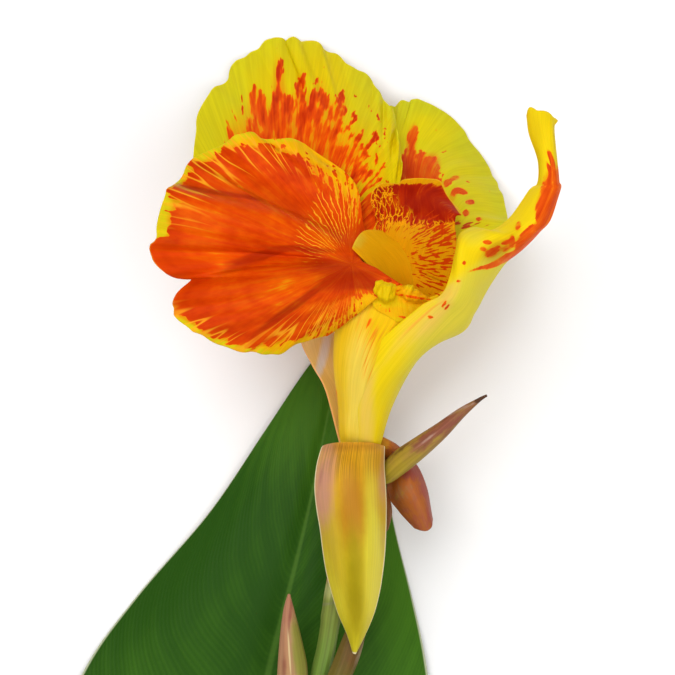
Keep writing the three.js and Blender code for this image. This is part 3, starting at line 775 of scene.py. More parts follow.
class Graph:
    """Shader nodes of one material."""

    def __init__(self, name: str) -> None:
        """Starts a material with a principled shader."""
        self.material = bpy.data.materials.new(name)
        self.material.use_nodes = True
        self.tree = self.material.node_tree
        self.tree.nodes.clear()
        self.shader = self.tree.nodes.new("ShaderNodeBsdfPrincipled")
        output = self.tree.nodes.new("ShaderNodeOutputMaterial")
        self.tree.links.new(self.shader.outputs["BSDF"], output.inputs["Surface"])

    def node(self, kind: str, feeds: dict[int | str, Feed], **settings: object) -> bpy.types.Node:
        """Adds a node.

        Args:
            kind: Its type after "ShaderNode".
            feeds: What each input gets, a socket or a value.
            settings: Its properties.

        Returns:
            The node.
        """
        node = self.tree.nodes.new("ShaderNode" + kind)
        for name, value in settings.items():
            setattr(node, name, value)
        for name, value in feeds.items():
            self.feed(node.inputs[name], value)
        return node

    def feed(self, socket: Socket, value: Feed) -> None:
        """Links a socket to an input, or sets the input's own value."""
        if isinstance(value, bpy.types.NodeSocket):
            self.tree.links.new(value, socket)
        else:
            socket.default_value = value

    def own_map(self) -> Socket:
        """Shares across and along the piece."""
        return self.node("UVMap", {}, uv_map="UVMap").outputs["UV"]

    def own_place(self) -> Socket:
        """Place on the object, in metres."""
        return self.node("TexCoord", {}).outputs["Object"]

    def pigment(self, name: str) -> Socket:
        """One of the piece's own values: amounts of pigment and of painted light and shade, and the fan and far of
        rays.
        """
        return self.node("Attribute", {}, attribute_name=name, attribute_type="GEOMETRY").outputs["Fac"]

    def scaled(self, vector: Socket, scale: tuple[float, float, float],
               shift: tuple[float, float, float] = (0.0, 0.0, 0.0)) -> Socket:
        """Coordinates stretched and moved."""
        return self.node("Mapping", {"Vector": vector, "Location": shift, "Scale": scale}).outputs[0]

    def noise(self, vector: Socket, detail: float = 2.0, roughness: float = 0.5) -> Socket:
        """Soft noise from 0 to 1."""
        feeds = {"Vector": vector, "Scale": 1.0, "Detail": detail, "Roughness": roughness}
        return self.node("TexNoise", feeds).outputs[0]

    def noise_colour(self, vector: Socket, scale: float) -> Socket:
        """Soft noise with three independent lanes."""
        return self.node("TexNoise", {"Vector": vector, "Scale": scale, "Detail": 2.0}).outputs[1]

    def cells(self, vector: Socket) -> Socket:
        """Distance to the borders of irregular cells."""
        feeds = {"Vector": vector, "Scale": 1.0, "Randomness": 1.0}
        return self.node("TexVoronoi", feeds, feature="DISTANCE_TO_EDGE").outputs["Distance"]

    def math(self, operation: str, first: Feed, second: Feed = 0.0) -> Socket:
        """Arithmetic on two values."""
        return self.node("Math", {0: first, 1: second}, operation=operation).outputs[0]

    def times(self, first: Feed, second: Feed) -> Socket:
        """Product of two values."""
        return self.math("MULTIPLY", first, second)

    def weighed(self, value: Feed, weight: float) -> Socket:
        """How far a value is over a half, times a weight."""
        return self.times(self.math("SUBTRACT", value, 0.5), weight)

    def total(self, *values: Feed) -> Socket:
        """Sum of values."""
        result = values[0]
        for value in values[1:]:
            result = self.math("ADD", result, value)
        return result

    def between(self, value: Feed, low: float, high: float, start: float = 0.0, end: float = 1.0) -> Socket:
        """A value's smooth share of the way from low to high, as a number from start to end."""
        feeds = {"Value": value, "From Min": low, "From Max": high, "To Min": start, "To Max": end}
        return self.node("MapRange", feeds, interpolation_type="SMOOTHSTEP").outputs[0]

    def held(self, name: str) -> Socket:
        """One of the piece's own values, held between 0 and 1."""
        return self.between(self.pigment(name), 0.0, 1.0)

    def pair(self, x: Feed, y: Feed) -> Socket:
        """Coordinates from two values."""
        return self.node("CombineXYZ", {0: x, 1: y}).outputs[0]

    def blend(self, share: Feed, first: Socket | Colour, second: Socket | Colour) -> Socket:
        """Mix of two colours."""
        first, second = (linear(colour) if isinstance(colour, tuple) else colour for colour in (first, second))
        return self.node("Mix", {0: share, 6: first, 7: second}, data_type="RGBA").outputs[2]

    def shaded(self, colour: Socket, light: Socket) -> Socket:
        """A colour darkened by a value."""
        grey = self.node("CombineColor", {0: light, 1: light, 2: light}).outputs[0]
        return self.node("Mix", {0: 1.0, 6: colour, 7: grey}, data_type="RGBA", blend_type="MULTIPLY").outputs[2]

    def ramp(self, value: Socket, stops: Sequence[tuple[float, Colour]]) -> Socket:
        """Colour at a value along a row of stops."""
        node = self.node("ValToRGB", {0: value})
        elements = node.color_ramp.elements
        while len(elements) < len(stops):
            elements.new(0.5)
        for element, (place, colour) in zip(elements, stops, strict=True):
            element.position = place
            element.color = linear(colour)
        return node.outputs[0]

    def bump(self, height: Socket, depth: float, strength: float = 1.0) -> None:
        """Relief of a depth in millimetres on the shader's normal."""
        feeds = {"Height": height, "Distance": depth * MM, "Strength": strength}
        self.feed(self.shader.inputs["Normal"], self.node("Bump", feeds).outputs[0])

    def surface(self, colour: Feed, roughness: Feed, subsurface: float = 0.0, reach: float = 0.6,
                specular: float = 0.5) -> bpy.types.Material:
        """Feeds the shader and returns the material.

        Args:
            colour: Its colour.
            roughness: Its roughness.
            subsurface: Share of light that spreads inside.
            reach: How far it spreads, in millimetres.
            specular: Strength of reflections.

        Returns:
            The material.
        """
        self.feed(self.shader.inputs["Base Color"], colour)
        self.feed(self.shader.inputs["Roughness"], roughness)
        self.shader.inputs["Subsurface Weight"].default_value = subsurface
        self.shader.inputs["Subsurface Radius"].default_value = (1.0, 0.5, 0.2)
        self.shader.inputs["Subsurface Scale"].default_value = reach * MM
        self.shader.inputs["Specular IOR Level"].default_value = specular
        return self.material


# ---------------------------------------------------------------- finishes
AMBER: Colour = (234, 158, 4)
GOLD: Colour = (224, 154, 0)
FLAMES: tuple[Colour, ...] = ((240, 146, 2), (242, 106, 0), (232, 76, 0), (196, 44, 0))
BLOTCH_STOPS = (0.44, 0.54, 0.72, 1.0)  # where each colour of a blotch lies


class Finish(Protocol):
    """Anything that makes a material."""

    def make(self) -> bpy.types.Material:
        """Builds the material."""


@dataclass(frozen=True)
class PetalFinish:
    """Living petal: a ground of two colours under streaked blotches, lines, a net, fans of rays and dashes.

    The piece's values say where: tone, flush, beige, lines, net, rays, dash, deep and rim; fan and far give each
    place's direction and distance from the middle of the rays. Deep says where painted shade darkens folds and
    creases towards the fold colour.
    """

    name: str
    ground: Colour
    second: Colour
    warm: Colour = AMBER
    blotch: tuple[Colour, ...] = FLAMES
    rim: Colour = (246, 230, 30)
    beige: Colour = (222, 186, 84)
    line: Colour = (240, 160, 4)
    # painted shade: the colour that folds and creases darken towards
    fold: Colour = (150, 22, 0)
    dash: Colour = (206, 62, 0)
    dashes: tuple[float, float] = (26.0, 5.0)
    rays: float = 78.0
    spots: tuple[float, float] = (45.0, 10.0)
    contrast: float = 1.5
    streak: float = 0.35
    sweeps: tuple[float, float] = (16.0, 2.5)
    sweep: float = 0.7
    dapple: float = 0.4
    lively: float = 0.8
    veins: float = 110.0
    line_count: float = 40.0
    net_cells: tuple[float, float] = (30.0, 14.0)
    roughness: float = 0.5
    glow: float = 0.2

    def blotched(self, g: Graph, colour: Socket, vein: Socket, spot: Socket, cloud: Socket) -> Socket:
        """Lays the streaked blotches over a colour.

        Args:
            g: The material's nodes.
            colour: What lies under them.
            vein: Fine noise along the petal.
            spot: Noise of the size of its spots.
            cloud: Broad noise.

        Returns:
            The new colour.
        """
        sweep = g.noise(g.scaled(g.own_map(), (*self.sweeps, 1), (5.3, 0.7, 0)), 2.0)
        amount = g.total(g.pigment("flush"), g.weighed(spot, self.contrast), g.weighed(vein, self.streak),
                         g.weighed(sweep, self.sweep))
        body = g.total(g.math("MINIMUM", amount, 0.7), g.weighed(cloud, 0.8), g.weighed(vein, self.lively),
                       g.weighed(sweep, self.lively * 0.6), g.weighed(spot, self.dapple))
        pigment = g.ramp(body, tuple(zip(BLOTCH_STOPS, self.blotch, strict=True)))
        return g.blend(g.between(amount, 0.44, 0.53), colour, pigment)

    def lined(self, g: Graph, colour: Socket) -> Socket:
        """Lays the fine lines and the net over a colour.

        Args:
            g: The material's nodes.
            colour: What lies under them.

        Returns:
            The new colour.
        """
        place = g.own_map()
        stripes = g.noise(g.scaled(place, (self.line_count, 2.0, 1), (7, 2, 0)), 0.5)
        thin = g.between(g.math("ABSOLUTE", g.weighed(stripes, 2)), 0.01, 0.1, 1.0, 0.0)
        colour = g.blend(g.times(thin, g.held("lines")), colour, self.line)
        wander = g.node("VectorMath", {0: g.scaled(place, (*self.net_cells, 1)), 1: g.noise_colour(place, 22.0)},
                        operation="ADD").outputs[0]
        mesh = g.times(g.between(g.cells(wander), 0.02, 0.12, 1.0, 0.0), g.held("net"))
        return g.blend(mesh, colour, self.line)

    def fanned(self, g: Graph, colour: Socket) -> Socket:
        """Lays the rays and dashes that fan out from the middle over a colour.

        Args:
            g: The material's nodes.
            colour: What lies under them.

        Returns:
            The new colour.
        """
        fan, far = g.pigment("fan"), g.pigment("far")
        lanes = g.pair(g.times(fan, self.dashes[0]), g.times(far, self.dashes[1]))
        wander = g.weighed(g.noise(g.pair(g.times(fan, 5.0), g.times(far, 2.2)), 3.0, 0.6), 14.0)
        comb = g.math("SINE", g.total(g.times(fan, self.rays), wander))
        reach = g.total(g.pigment("rays"), g.weighed(g.noise(lanes, 1.0, 0.5), 1.3))
        colour = g.blend(g.times(g.between(comb, 0.66, 0.98), g.between(reach, 0.3, 0.7)), colour, self.line)
        dashed = g.total(g.pigment("dash"), g.weighed(g.noise(lanes, 1.5, 0.5), 2.2))
        where = g.between(g.pigment("dash"), 0.02, 0.1)
        return g.blend(g.times(g.between(dashed, 0.5, 0.6), where), colour, self.dash)

    def make(self) -> bpy.types.Material:
        """Builds the material."""
        g = Graph(self.name)
        place = g.own_map()
        vein = g.noise(g.scaled(place, (self.veins, 2.6, 1)), 2.0, 0.6)
        spot = g.noise(g.scaled(place, (*self.spots, 1)), 2.0, 0.5)
        cloud = g.noise(g.scaled(place, (5.0, 4.0, 1), (3.1, 1.7, 0)), 3.0)
        tone = g.total(g.pigment("tone"), g.weighed(cloud, 0.6), g.weighed(vein, 0.4))
        colour = g.blend(g.between(tone, 0.1, 0.9), self.ground, self.second)
        warmed = g.total(g.pigment("flush"), g.weighed(cloud, 0.4))
        colour = g.blend(g.between(warmed, 0.15, 0.8, 0.0, 0.85), colour, self.warm)
        worn = g.total(g.pigment("beige"), g.weighed(cloud, 0.8), g.weighed(vein, 0.3))
        colour = g.blend(g.between(worn, 0.2, 0.9), colour, self.beige)
        colour = self.fanned(g, self.lined(g, self.blotched(g, colour, vein, spot, cloud)))
        # painted shade in folds and creases, where the value deep says
        colour = g.blend(g.times(g.held("deep"), 0.6), colour, self.fold)
        colour = g.blend(g.between(g.pigment("rim"), 0.4, 0.7), colour, self.rim)
        colour = g.shaded(colour, g.between(vein, 0.3, 0.7, 0.88, 1.0))
        g.bump(g.total(g.times(vein, 0.7), g.times(spot, 0.3)), 0.16, 0.7)
        return g.surface(colour, g.total(self.roughness, g.weighed(cloud, 0.15)), self.glow, 0.8, 0.04)


@dataclass(frozen=True)
class BractFinish:
    """Leathery bract, sepal, petal, bud or stem: three colours along it, layers of pigment and of painted shadow
    and highlight, ribs and a rim.

    Each layer is a colour under the name of the piece's values that say where it lies. The values combed and rim
    say where the ribs darken and where the rim lies.
    """

    name: str
    foot: Colour
    middle: Colour
    tip: Colour
    layers: tuple[tuple[str, Colour], ...] = ()
    rim: Colour = (232, 224, 150)
    ribs: float = 34.0
    rib_depth: float = 0.25
    mottle: float = 0.35
    roughness: float = 0.48
    glow: float = 0.08

    def make(self) -> bpy.types.Material:
        """Builds the material."""
        g = Graph(self.name)
        place = g.own_map()
        rib = g.noise(g.scaled(place, (self.ribs, 0.8, 1)), 2.0, 0.65)
        cloud = g.noise(g.scaled(place, (6.0, 9.0, 1), (2.3, 4.1, 0)), 4.0, 0.6)
        along = g.total(g.node("SeparateXYZ", {0: place}).outputs[1], g.weighed(cloud, self.mottle * 0.5),
                        g.weighed(rib, 0.12))
        colour = g.ramp(along, ((0.0, self.foot), (0.5, self.middle), (1.0, self.tip)))
        for name, tint in self.layers:
            amount = g.total(g.pigment(name), g.weighed(cloud, self.mottle * 1.5), g.weighed(rib, 0.28))
            colour = g.blend(g.between(amount, 0.2, 0.85), colour, tint)
        combed = g.times(g.between(rib, 0.42, 0.56, 1.0, 0.0), g.held("combed"))
        light = g.total(g.between(rib, 0.35, 0.65, 1.0 - self.rib_depth, 1.0), g.times(combed, -0.35))
        colour = g.blend(g.between(g.pigment("rim"), 0.4, 0.7), g.shaded(colour, light), self.rim)
        g.bump(g.total(g.times(rib, 0.8), g.times(cloud, 0.3)), 0.18, 0.6)
        return g.surface(colour, g.total(self.roughness, g.weighed(cloud, 0.2)), self.glow, 0.6, 0.14)


@dataclass(frozen=True)
class LeafFinish:
    """Broad leaf: arching side veins in two strengths, a pale midrib, mottled green and a pale thin edge."""

    name: str
    dark: Colour = (36, 76, 10)
    light: Colour = (66, 112, 24)
    midrib: Colour = (92, 132, 48)
    edge: Colour = (178, 186, 150)
    fine: float = 150.0
    broad: float = 24.0
    arch: float = 0.22

    def make(self) -> bpy.types.Material:
        """Builds the material."""
        g = Graph(self.name)
        place = g.own_map()
        parts = g.node("SeparateXYZ", {0: place}).outputs
        out = g.times(g.math("ABSOLUTE", g.math("SUBTRACT", parts[0], 0.5)), 2.0)
        arch = g.times(g.math("POWER", out, 1.6), self.arch)
        wander = g.noise(g.scaled(place, (3.0, 5.0, 1)), 3.0)
        lane = g.total(parts[1], arch, g.weighed(wander, 0.02))
        fine = g.math("SINE", g.times(lane, self.fine * 2 * math.pi))
        broad = g.math("SINE", g.times(lane, self.broad * 2 * math.pi))
        cloud = g.noise(g.scaled(place, (4.0, 3.0, 1), (1.3, 0.4, 0)), 5.0, 0.6)
        streak = g.noise(g.pair(g.times(lane, 60.0), out), 3.0, 0.7)
        # the value light brings painted shade and painted light into the mottled green
        tone = g.total(g.pigment("light"), g.weighed(cloud, 1.1), g.weighed(streak, 0.5), g.times(fine, 0.05),
                       g.times(broad, 0.05))
        colour = g.blend(g.between(tone, 0.0, 1.0), self.dark, self.light)
        rib = g.between(out, 0.012, 0.05, 1.0, 0.0)
        colour = g.blend(g.times(rib, 0.4), colour, self.midrib)
        colour = g.blend(g.between(out, 0.982, 0.995), colour, self.edge)
        g.bump(g.total(g.times(fine, 0.25), g.times(broad, 0.5), g.times(cloud, 0.4)), 0.1, 0.5)
        return g.surface(colour, g.total(0.5, g.weighed(cloud, 0.2)), 0.0, 0.5, 0.07)


@dataclass(frozen=True)
class WartyFinish:
    """Young fruit: green, with reddish warts where the piece's value wart says."""

    name: str
    green: Colour = (112, 132, 52)
    wart: Colour = (168, 120, 70)

    def make(self) -> bpy.types.Material:
        """Builds the material."""
        g = Graph(self.name)
        cloud = g.noise(g.scaled(g.own_place(), (300, 300, 300)), 3.0)
        raised = g.total(g.pigment("wart"), g.weighed(cloud, 0.6))
        colour = g.blend(g.between(raised, 0.2, 0.9), self.green, self.wart)
        g.bump(cloud, 0.1, 0.5)
        return g.surface(colour, g.total(0.5, g.weighed(cloud, 0.2)), 0.08, 0.6, 0.4)


@dataclass(frozen=True)
class FloorFinish:
    """Plain pale paper."""

    name: str = "pale_paper"
    tint: Colour = (252, 252, 252)

    def make(self) -> bpy.types.Material:
        """Builds the material."""
        return Graph(self.name).surface(linear(self.tint), 0.8, specular=0.1)


class Slot(Enum):
    """Material slots of the record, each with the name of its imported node."""

    OVARY = "ovary"
    TUBE = "flower_tube"
    BACK = "staminode_back"
    RIGHT_BACK = "staminode_right_back"
    LEFT = "staminode_left"
    LABELLUM = "labellum"
    STAMEN = "petaloid_stamen"
    STYLE = "style"
    PETAL_FRONT = "petal_front"
    PETAL_RIGHT = "petal_right"
    PETAL_LEFT = "petal_left"
    SEPAL_RIGHT = "sepal_right"
    SEPAL_LEFT = "sepal_left"
    SEPAL_BACK = "sepal_back"
    BRACT_RIGHT = "bract_right"
    STEM = "stem"
    BUD = "side_bud"
    BRACT_LOWER = "bract_lower"
    LEAF = "leaf"


def dress(obj: bpy.types.Object, *finishes: bpy.types.Material) -> None:
    """Gives a piece its materials, in the order of its faces' material numbers."""
    obj.data.materials.clear()
    for finish in finishes:
        obj.data.materials.append(finish)


def enter(obj: bpy.types.Object, slot: Slot, stands_for: bool = True) -> None:
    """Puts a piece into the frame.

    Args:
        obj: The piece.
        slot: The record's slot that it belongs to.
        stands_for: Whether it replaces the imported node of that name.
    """
    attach(obj, "root")
    if stands_for:
        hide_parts(slot.value)
    LOG.info("%s: %d faces", obj.name, len(obj.data.polygons))


@dataclass(frozen=True)
class Piece:
    """A shape with its finish, if it doesn't dress itself, and the slot of the record that it belongs to."""

    shape: Blade | Limb | Funnel
    slot: Slot
    finish: Finish | None = None
    stands_for: bool = True

    def place(self) -> None:
        """Builds the shape, dresses it and puts it into the frame."""
        obj = self.shape.build()
        if self.finish:
            dress(obj, self.finish.make())
        enter(obj, self.slot, self.stands_for)


class Assembly(ABC):
    """A part of the plant that is made of pieces."""

    @abstractmethod
    def pieces(self) -> Iterator[Piece]:
        """The pieces, in the order that they are built in."""

    def build(self) -> None:
        """Builds every piece in its place."""
        for piece in self.pieces():
            piece.place()


# ---------------------------------------------------------------- the bloom
@dataclass
class Staminodes(Assembly):
    """Three broad ruffled staminodes behind and to the left of the throat."""

    claw_thick: float = 0.7
    edge_thick: float = 0.35

    def back(self) -> Blade:
        """Tall yellow one with streaked blotches about its middle."""
        outline = Outline((
            (193, 172), (193, 158), (194, 145), (196, 130), (196, 119), (200, 108), (208, 95), (214, 86.5),
            (221, 85), (226, 82), (228.5, 78), (228, 70), (231, 66), (236, 60), (245, 57), (250, 52), (258, 49),
            (261, 45), (265, 40), (272, 38), (278, 35), (283, 37.5), (287, 43), (292, 46), (297, 43.5),
            (303, 41), (315, 40.5), (321, 44), (323, 49), (327, 54), (334, 52), (340, 56), (345, 62), (350, 67),
            (358, 70), (366, 73), (371, 79), (375, 86), (380, 92), (383, 99), (388, 104), (394, 112),
            (397, 130), (399, 140), (400, 150), (402, 162)))
        ruffle = Ruffle(waves=11, depth=0.9, start=0.45, pleats=26, pleat_depth=0.35, crinkle=0.35,
                        crinkles=(14, 4), seed=3.3)
        flush = laid((274, 158, 64, 50, 0.88, 0, 0.6), (330, 190, 70, 76, 0.42, 0, 0.5),
                     (352, 150, 34, 44, 0.12, 20, 0.8), (279, 88, 7, 36, 0.6, 2, 0.7),
                     (299, 92, 6, 22, 0.5, -6, 0.8), (316, 96, 8, 22, 0.5, -22, 0.8),
                     (257, 100, 8, 16, 0.5, 8, 0.8), (336, 106, 10, 16, 0.35, -20, 0.8), (206, 154, 18, 40, -1.0),
                     (212, 108, 14, 22, -0.5, 0, 1), (400, 130, 12, 60, -0.8), (369, 219, 9, 16, 0.75, 0, 0.6),
                     margin=-0.2, band=0.2)
        tone = laid((215, 120, 40, 60, 0.5), (370, 110, 30, 40, 0.35), base=0.15, margin=0.45, band=0.18)
        # deep: faint painted shade across the blade's middle
        paint_layers = {"flush": flush, "tone": tone,
                    "deep": laid((300, 150, 110, 30, 0.18, -15)),
                    "rim": Channel(margin=0.62, band=0.025)}
        return Blade("back_staminode", STAMINODE_BACK, 120, 48, self.claw_thick, self.edge_thick, 0.05, ruffle,
                     outline, paint_layers, (285.0, 300.0), (90.0, -84.0))

    def right_back(self) -> Blade:
        """Smaller one to its right, blotched where it meets the stamen."""
        outline = Outline((
            (381, 118), (384, 108), (387, 104), (393, 106), (400, 108.5), (404, 108), (409, 102.5), (414, 97.5),
            (425, 101.5), (432, 104.5), (438, 108), (445, 112), (449, 115), (455, 120), (461, 127), (465, 131),
            (468, 138), (473, 145), (480, 153), (486, 162), (490, 169), (493, 177), (497, 180), (499, 189),
            (503, 195), (505, 205), (507, 214), (508, 221), (506, 226)))
        ruffle = Ruffle(waves=7, depth=0.8, start=0.45, pleats=18, pleat_depth=0.35, crinkle=0.3,
                        crinkles=(9, 4), seed=8.1)
        flush = laid((412, 138, 6, 16, 0.75, -10), (412, 178, 24, 26, 0.9, 0, 0.35), (432, 166, 9, 14, 0.7, -10),
                     (437, 182, 12, 4, 0.5, -20), (455, 178, 5, 2.6, 0.85, 10), (461.5, 191, 6.4, 3.2, 0.85, -22),
                     (470, 202, 4.6, 3, 0.85), (466, 213, 3.8, 3, 0.8), (448, 182, 4, 3, 0.7),
                     (480, 219, 4, 2.4, 0.5), (453, 196, 4, 8, 0.6, -20))
        tone = laid((440, 125, 26, 14, -0.3), base=0.35, margin=0.4, band=0.3)
        # deep: painted shade over the blotched patch by the stamen
        paint_layers = {"flush": flush, "tone": tone, "rim": Channel(margin=0.62, band=0.03),
                    "dash": laid((474, 225, 34, 3.4, 0.4), (457, 233, 14, 14, 0.32)),
                    "deep": laid((412, 170, 26, 12, 0.45, -8, 0.9))}
        return Blade("right_back_staminode", STAMINODE_RIGHT_BACK, 90, 44, self.claw_thick, self.edge_thick,
                     0.05, ruffle, outline, paint_layers)

    def left(self) -> Blade:
        """Broad flame-coloured one, folded twice, with yellow bitten margins."""
        outline = Outline((
            (308, 146), (300, 141.5), (290, 138), (282, 138.5), (272, 139), (263, 139), (257, 137), (254, 132.5),
            (249, 131.5), (243, 133.5), (235, 134.5), (230, 139), (222, 145), (212, 149), (203, 153), (193, 158),
            (188, 163), (185, 168), (183, 174), (179, 180), (171, 186), (166.5, 188), (165, 195), (162, 203),
            (159, 213), (157, 222), (156, 230), (157, 236), (155, 241), (150, 244), (149, 249), (151, 256),
            (154, 263), (160, 269), (167, 274.5), (175, 278), (184, 279), (191, 279.5), (186, 284.5),
            (178, 291), (174, 297), (172, 304), (174, 309), (171.5, 312), (175.5, 318), (182, 323.5),
            (188, 327.5), (194, 333), (200, 331.5), (204, 336.5), (210, 341), (217, 344.5), (226, 347),
            (236, 351), (244, 353), (251, 351), (257, 352.5), (263, 355.5), (270, 354), (281, 355),
            (286, 350.5), (292, 346), (298, 343), (305, 342), (312, 339), (325, 336)), 0.35)
        ruffle = Ruffle(waves=13, depth=0.45, start=0.5, pleats=34, pleat_depth=0.3, crinkle=0.35,
                        crinkles=(16, 4), seed=5.7)
        flush = laid((159, 206, 17, 28, -2.36, -8, 1), (157, 232, 12, 8, -1.42, 0, 1),
                     (178, 176, 12, 8, -1.65, 0, 1), (214, 148, 46, 12, -2.24, 27, 1),
                     (254, 132, 14, 13, -1.77, 0, 1), (292, 140, 50, 12, -2.12, -15, 1),
                     (346, 178, 22, 54, -1.71, 34, 1), (304, 164, 40, 16, -0.47, -24, 1),
                     (176, 326, 22, 12, -2.12, -38, 1), (205, 343, 26, 12, -2.01, -25, 1),
                     (240, 357, 30, 13, -2.12, -8, 1), (280, 358, 28, 14, -2.12, 8, 1),
                     (318, 337, 60, 14, -1.77, 30, 1), (366, 302, 14, 12, -1.65, 34, 1), base=2.1)
        # painted shade along the folds and creases between the lobes and towards the claw
        deep = laid((214, 192, 46, 2.6, 0.8, -9), (268, 206, 26, 3, 0.35, -25), (262, 255, 34, 4, 0.8, 14),
                    (246, 264, 30, 4, 0.5, 20), (300, 249, 40, 3, 0.6, -3), (290, 309, 46, 4, 0.9, 36),
                    (336, 270, 36, 12, 0.6, -20, 0.9), (346, 282, 34, 9, 0.6, 10), (372, 286, 16, 5, 0.6, -12),
                    (224, 246, 50, 7, 0.3, -3), (260, 280, 60, 16, 0.25, 10, 1))
        tone = laid((164, 208, 16, 28, 0.9), (172, 318, 20, 12, 0.9, -30), (225, 348, 50, 9, 0.6, -15),
                    (196, 158, 20, 8, 0.4, 30), margin=0.8, band=0.1)
        lines = laid((226, 162, 62, 20, 0.9, 22, 0.9), (292, 154, 46, 16, 0.7, -15, 0.9), (196, 180, 22, 16, 0.7),
                     (204, 328, 44, 13, 0.8, -28, 0.9), (308, 328, 60, 16, 0.9, 22, 0.9),
                     (184, 215, 24, 24, 0.5, 0, 0.9))
        paint_layers = {"flush": flush, "deep": deep, "tone": tone, "lines": lines,
                    "rays": laid((329, 222, 24, 44, 0.8, -36, 0.5)),
                    "rim": Channel(margin=0.5, band=0.02)}
        return Blade("left_staminode", STAMINODE_LEFT, 150, 52, self.claw_thick, self.edge_thick, 0.06, ruffle,
                     outline, paint_layers, (352.0, 264.0), (206.0, 200.0))

    def pieces(self) -> Iterator[Piece]:
        """The back one, the one behind right and the left one."""
        yield Piece(self.back(), Slot.BACK, PetalFinish(
            "back_skin", (228, 200, 2), (216, 204, 20), spots=(42, 11), contrast=2.1, streak=0.3, sweeps=(36, 4),
            sweep=1.6, dapple=1.3))
        yield Piece(self.right_back(), Slot.RIGHT_BACK, PetalFinish(
            "right_back_skin", (232, 212, 4), (212, 206, 24), spots=(24, 9), contrast=2.0, streak=0.15, sweep=0.1))
        yield Piece(self.left(), Slot.LEFT, PetalFinish(
            "left_skin", (238, 176, 2), (216, 196, 14), warm=(222, 140, 2), line_count=64, line=(248, 170, 30),
            spots=(70, 14), contrast=2.8, sweeps=(60, 4.5), sweep=4.4, dapple=0.3, lively=0.5,
            blotch=((236, 140, 4), (234, 96, 0), (220, 70, 0), (190, 44, 0))))


@dataclass(frozen=True)
class Funnel:
    """Hollow flower tube, yellow outside and deep gold inside."""

    wall: float = 0.7
    sides: int = 72
    loops: int = 40

    @staticmethod
    def close_foot(obj: bpy.types.Object, along: np.ndarray) -> None:
        """Closes the tube's foot and turns its faces outwards."""
        pick_edges(obj, lambda start, end: max(along[start], along[end]) < AT_END)
        with editing(obj):
            bpy.ops.mesh.edge_face_add()
        face_outwards(obj)
        foot = min(obj.data.polygons, key=lambda face: face.center.y)
        if foot.normal.y > 0:
            with editing(obj):
                bpy.ops.mesh.flip_normals()

    def build(self) -> bpy.types.Object:
        """Makes the tube's mesh with its finishes, map and paint layers."""
        obj, angle, along = new_pipe("funnel", self.sides, self.loops, capped=False)
        x, y, z, wide, deep, degrees = blend_knots(np.array(FLOWER_TUBE, float), along).T
        ridge = 1 + 0.02 * grain(angle * 3, along * 2, 4.0) + 0.012 * np.sin(9 * angle)
        out, up, tilt = wide * ridge * np.cos(angle), deep * ridge * np.sin(angle), np.radians(degrees)
        points = np.column_stack([x + out, y - up * np.sin(tilt), z + up * np.cos(tilt)])
        lay(obj, points, angle / (2 * math.pi), along)
        self.close_foot(obj, along)
        dress(obj, self.outside().make(), self.inside().make())
        apply_modifier(obj, "SOLIDIFY", thickness=self.wall * MM, offset=-1.0, material_offset=1,
                       material_offset_rim=1)
        finish_mesh(obj, {
            "dash": laid((446, 258, 40, 46, 0.5), (452, 268, 10, 30, 0.15)),
            "flush": laid((408, 304, 22, 6, 0.4, 8, 0.8), (337, 385, 8, 60, 0.32, 4, 0.9),
                          (366, 330, 8, 26, 0.38, 0, 1), (385, 320, 16, 8, 0.25, 20, 1),
                          (384, 350, 10, 26, 0.3, -20, 1)),
            # tone: the long first patch is a pale band down the tube's front, left of its middle, partly its
            # colour and partly a painted highlight
            "tone": laid((360, 395, 14, 80, 0.9, 0, 1), (402, 360, 12, 34, 0.6, -24, 1)),
            "lines": laid((369, 344, 10, 40, 1.0, 4, 0.8), (392, 332, 16, 26, 0.5, -20, 0.9))})
        return obj

    @staticmethod
    def outside() -> PetalFinish:
        """Yellow with faint warm streaks along the tube."""
        return PetalFinish("tube_outside", (238, 194, 12), (240, 208, 80), warm=(240, 158, 6), line=(236, 148, 26),
                           line_count=90, spots=(60, 9), contrast=0.5)

    @staticmethod
    def inside() -> PetalFinish:
        """Deep gold with flame dashes towards the labellum."""
        return PetalFinish("tube_inside", (228, 156, 2), (234, 172, 6), warm=(226, 150, 0), spots=(64, 17),
                           contrast=2.0, glow=0.1)


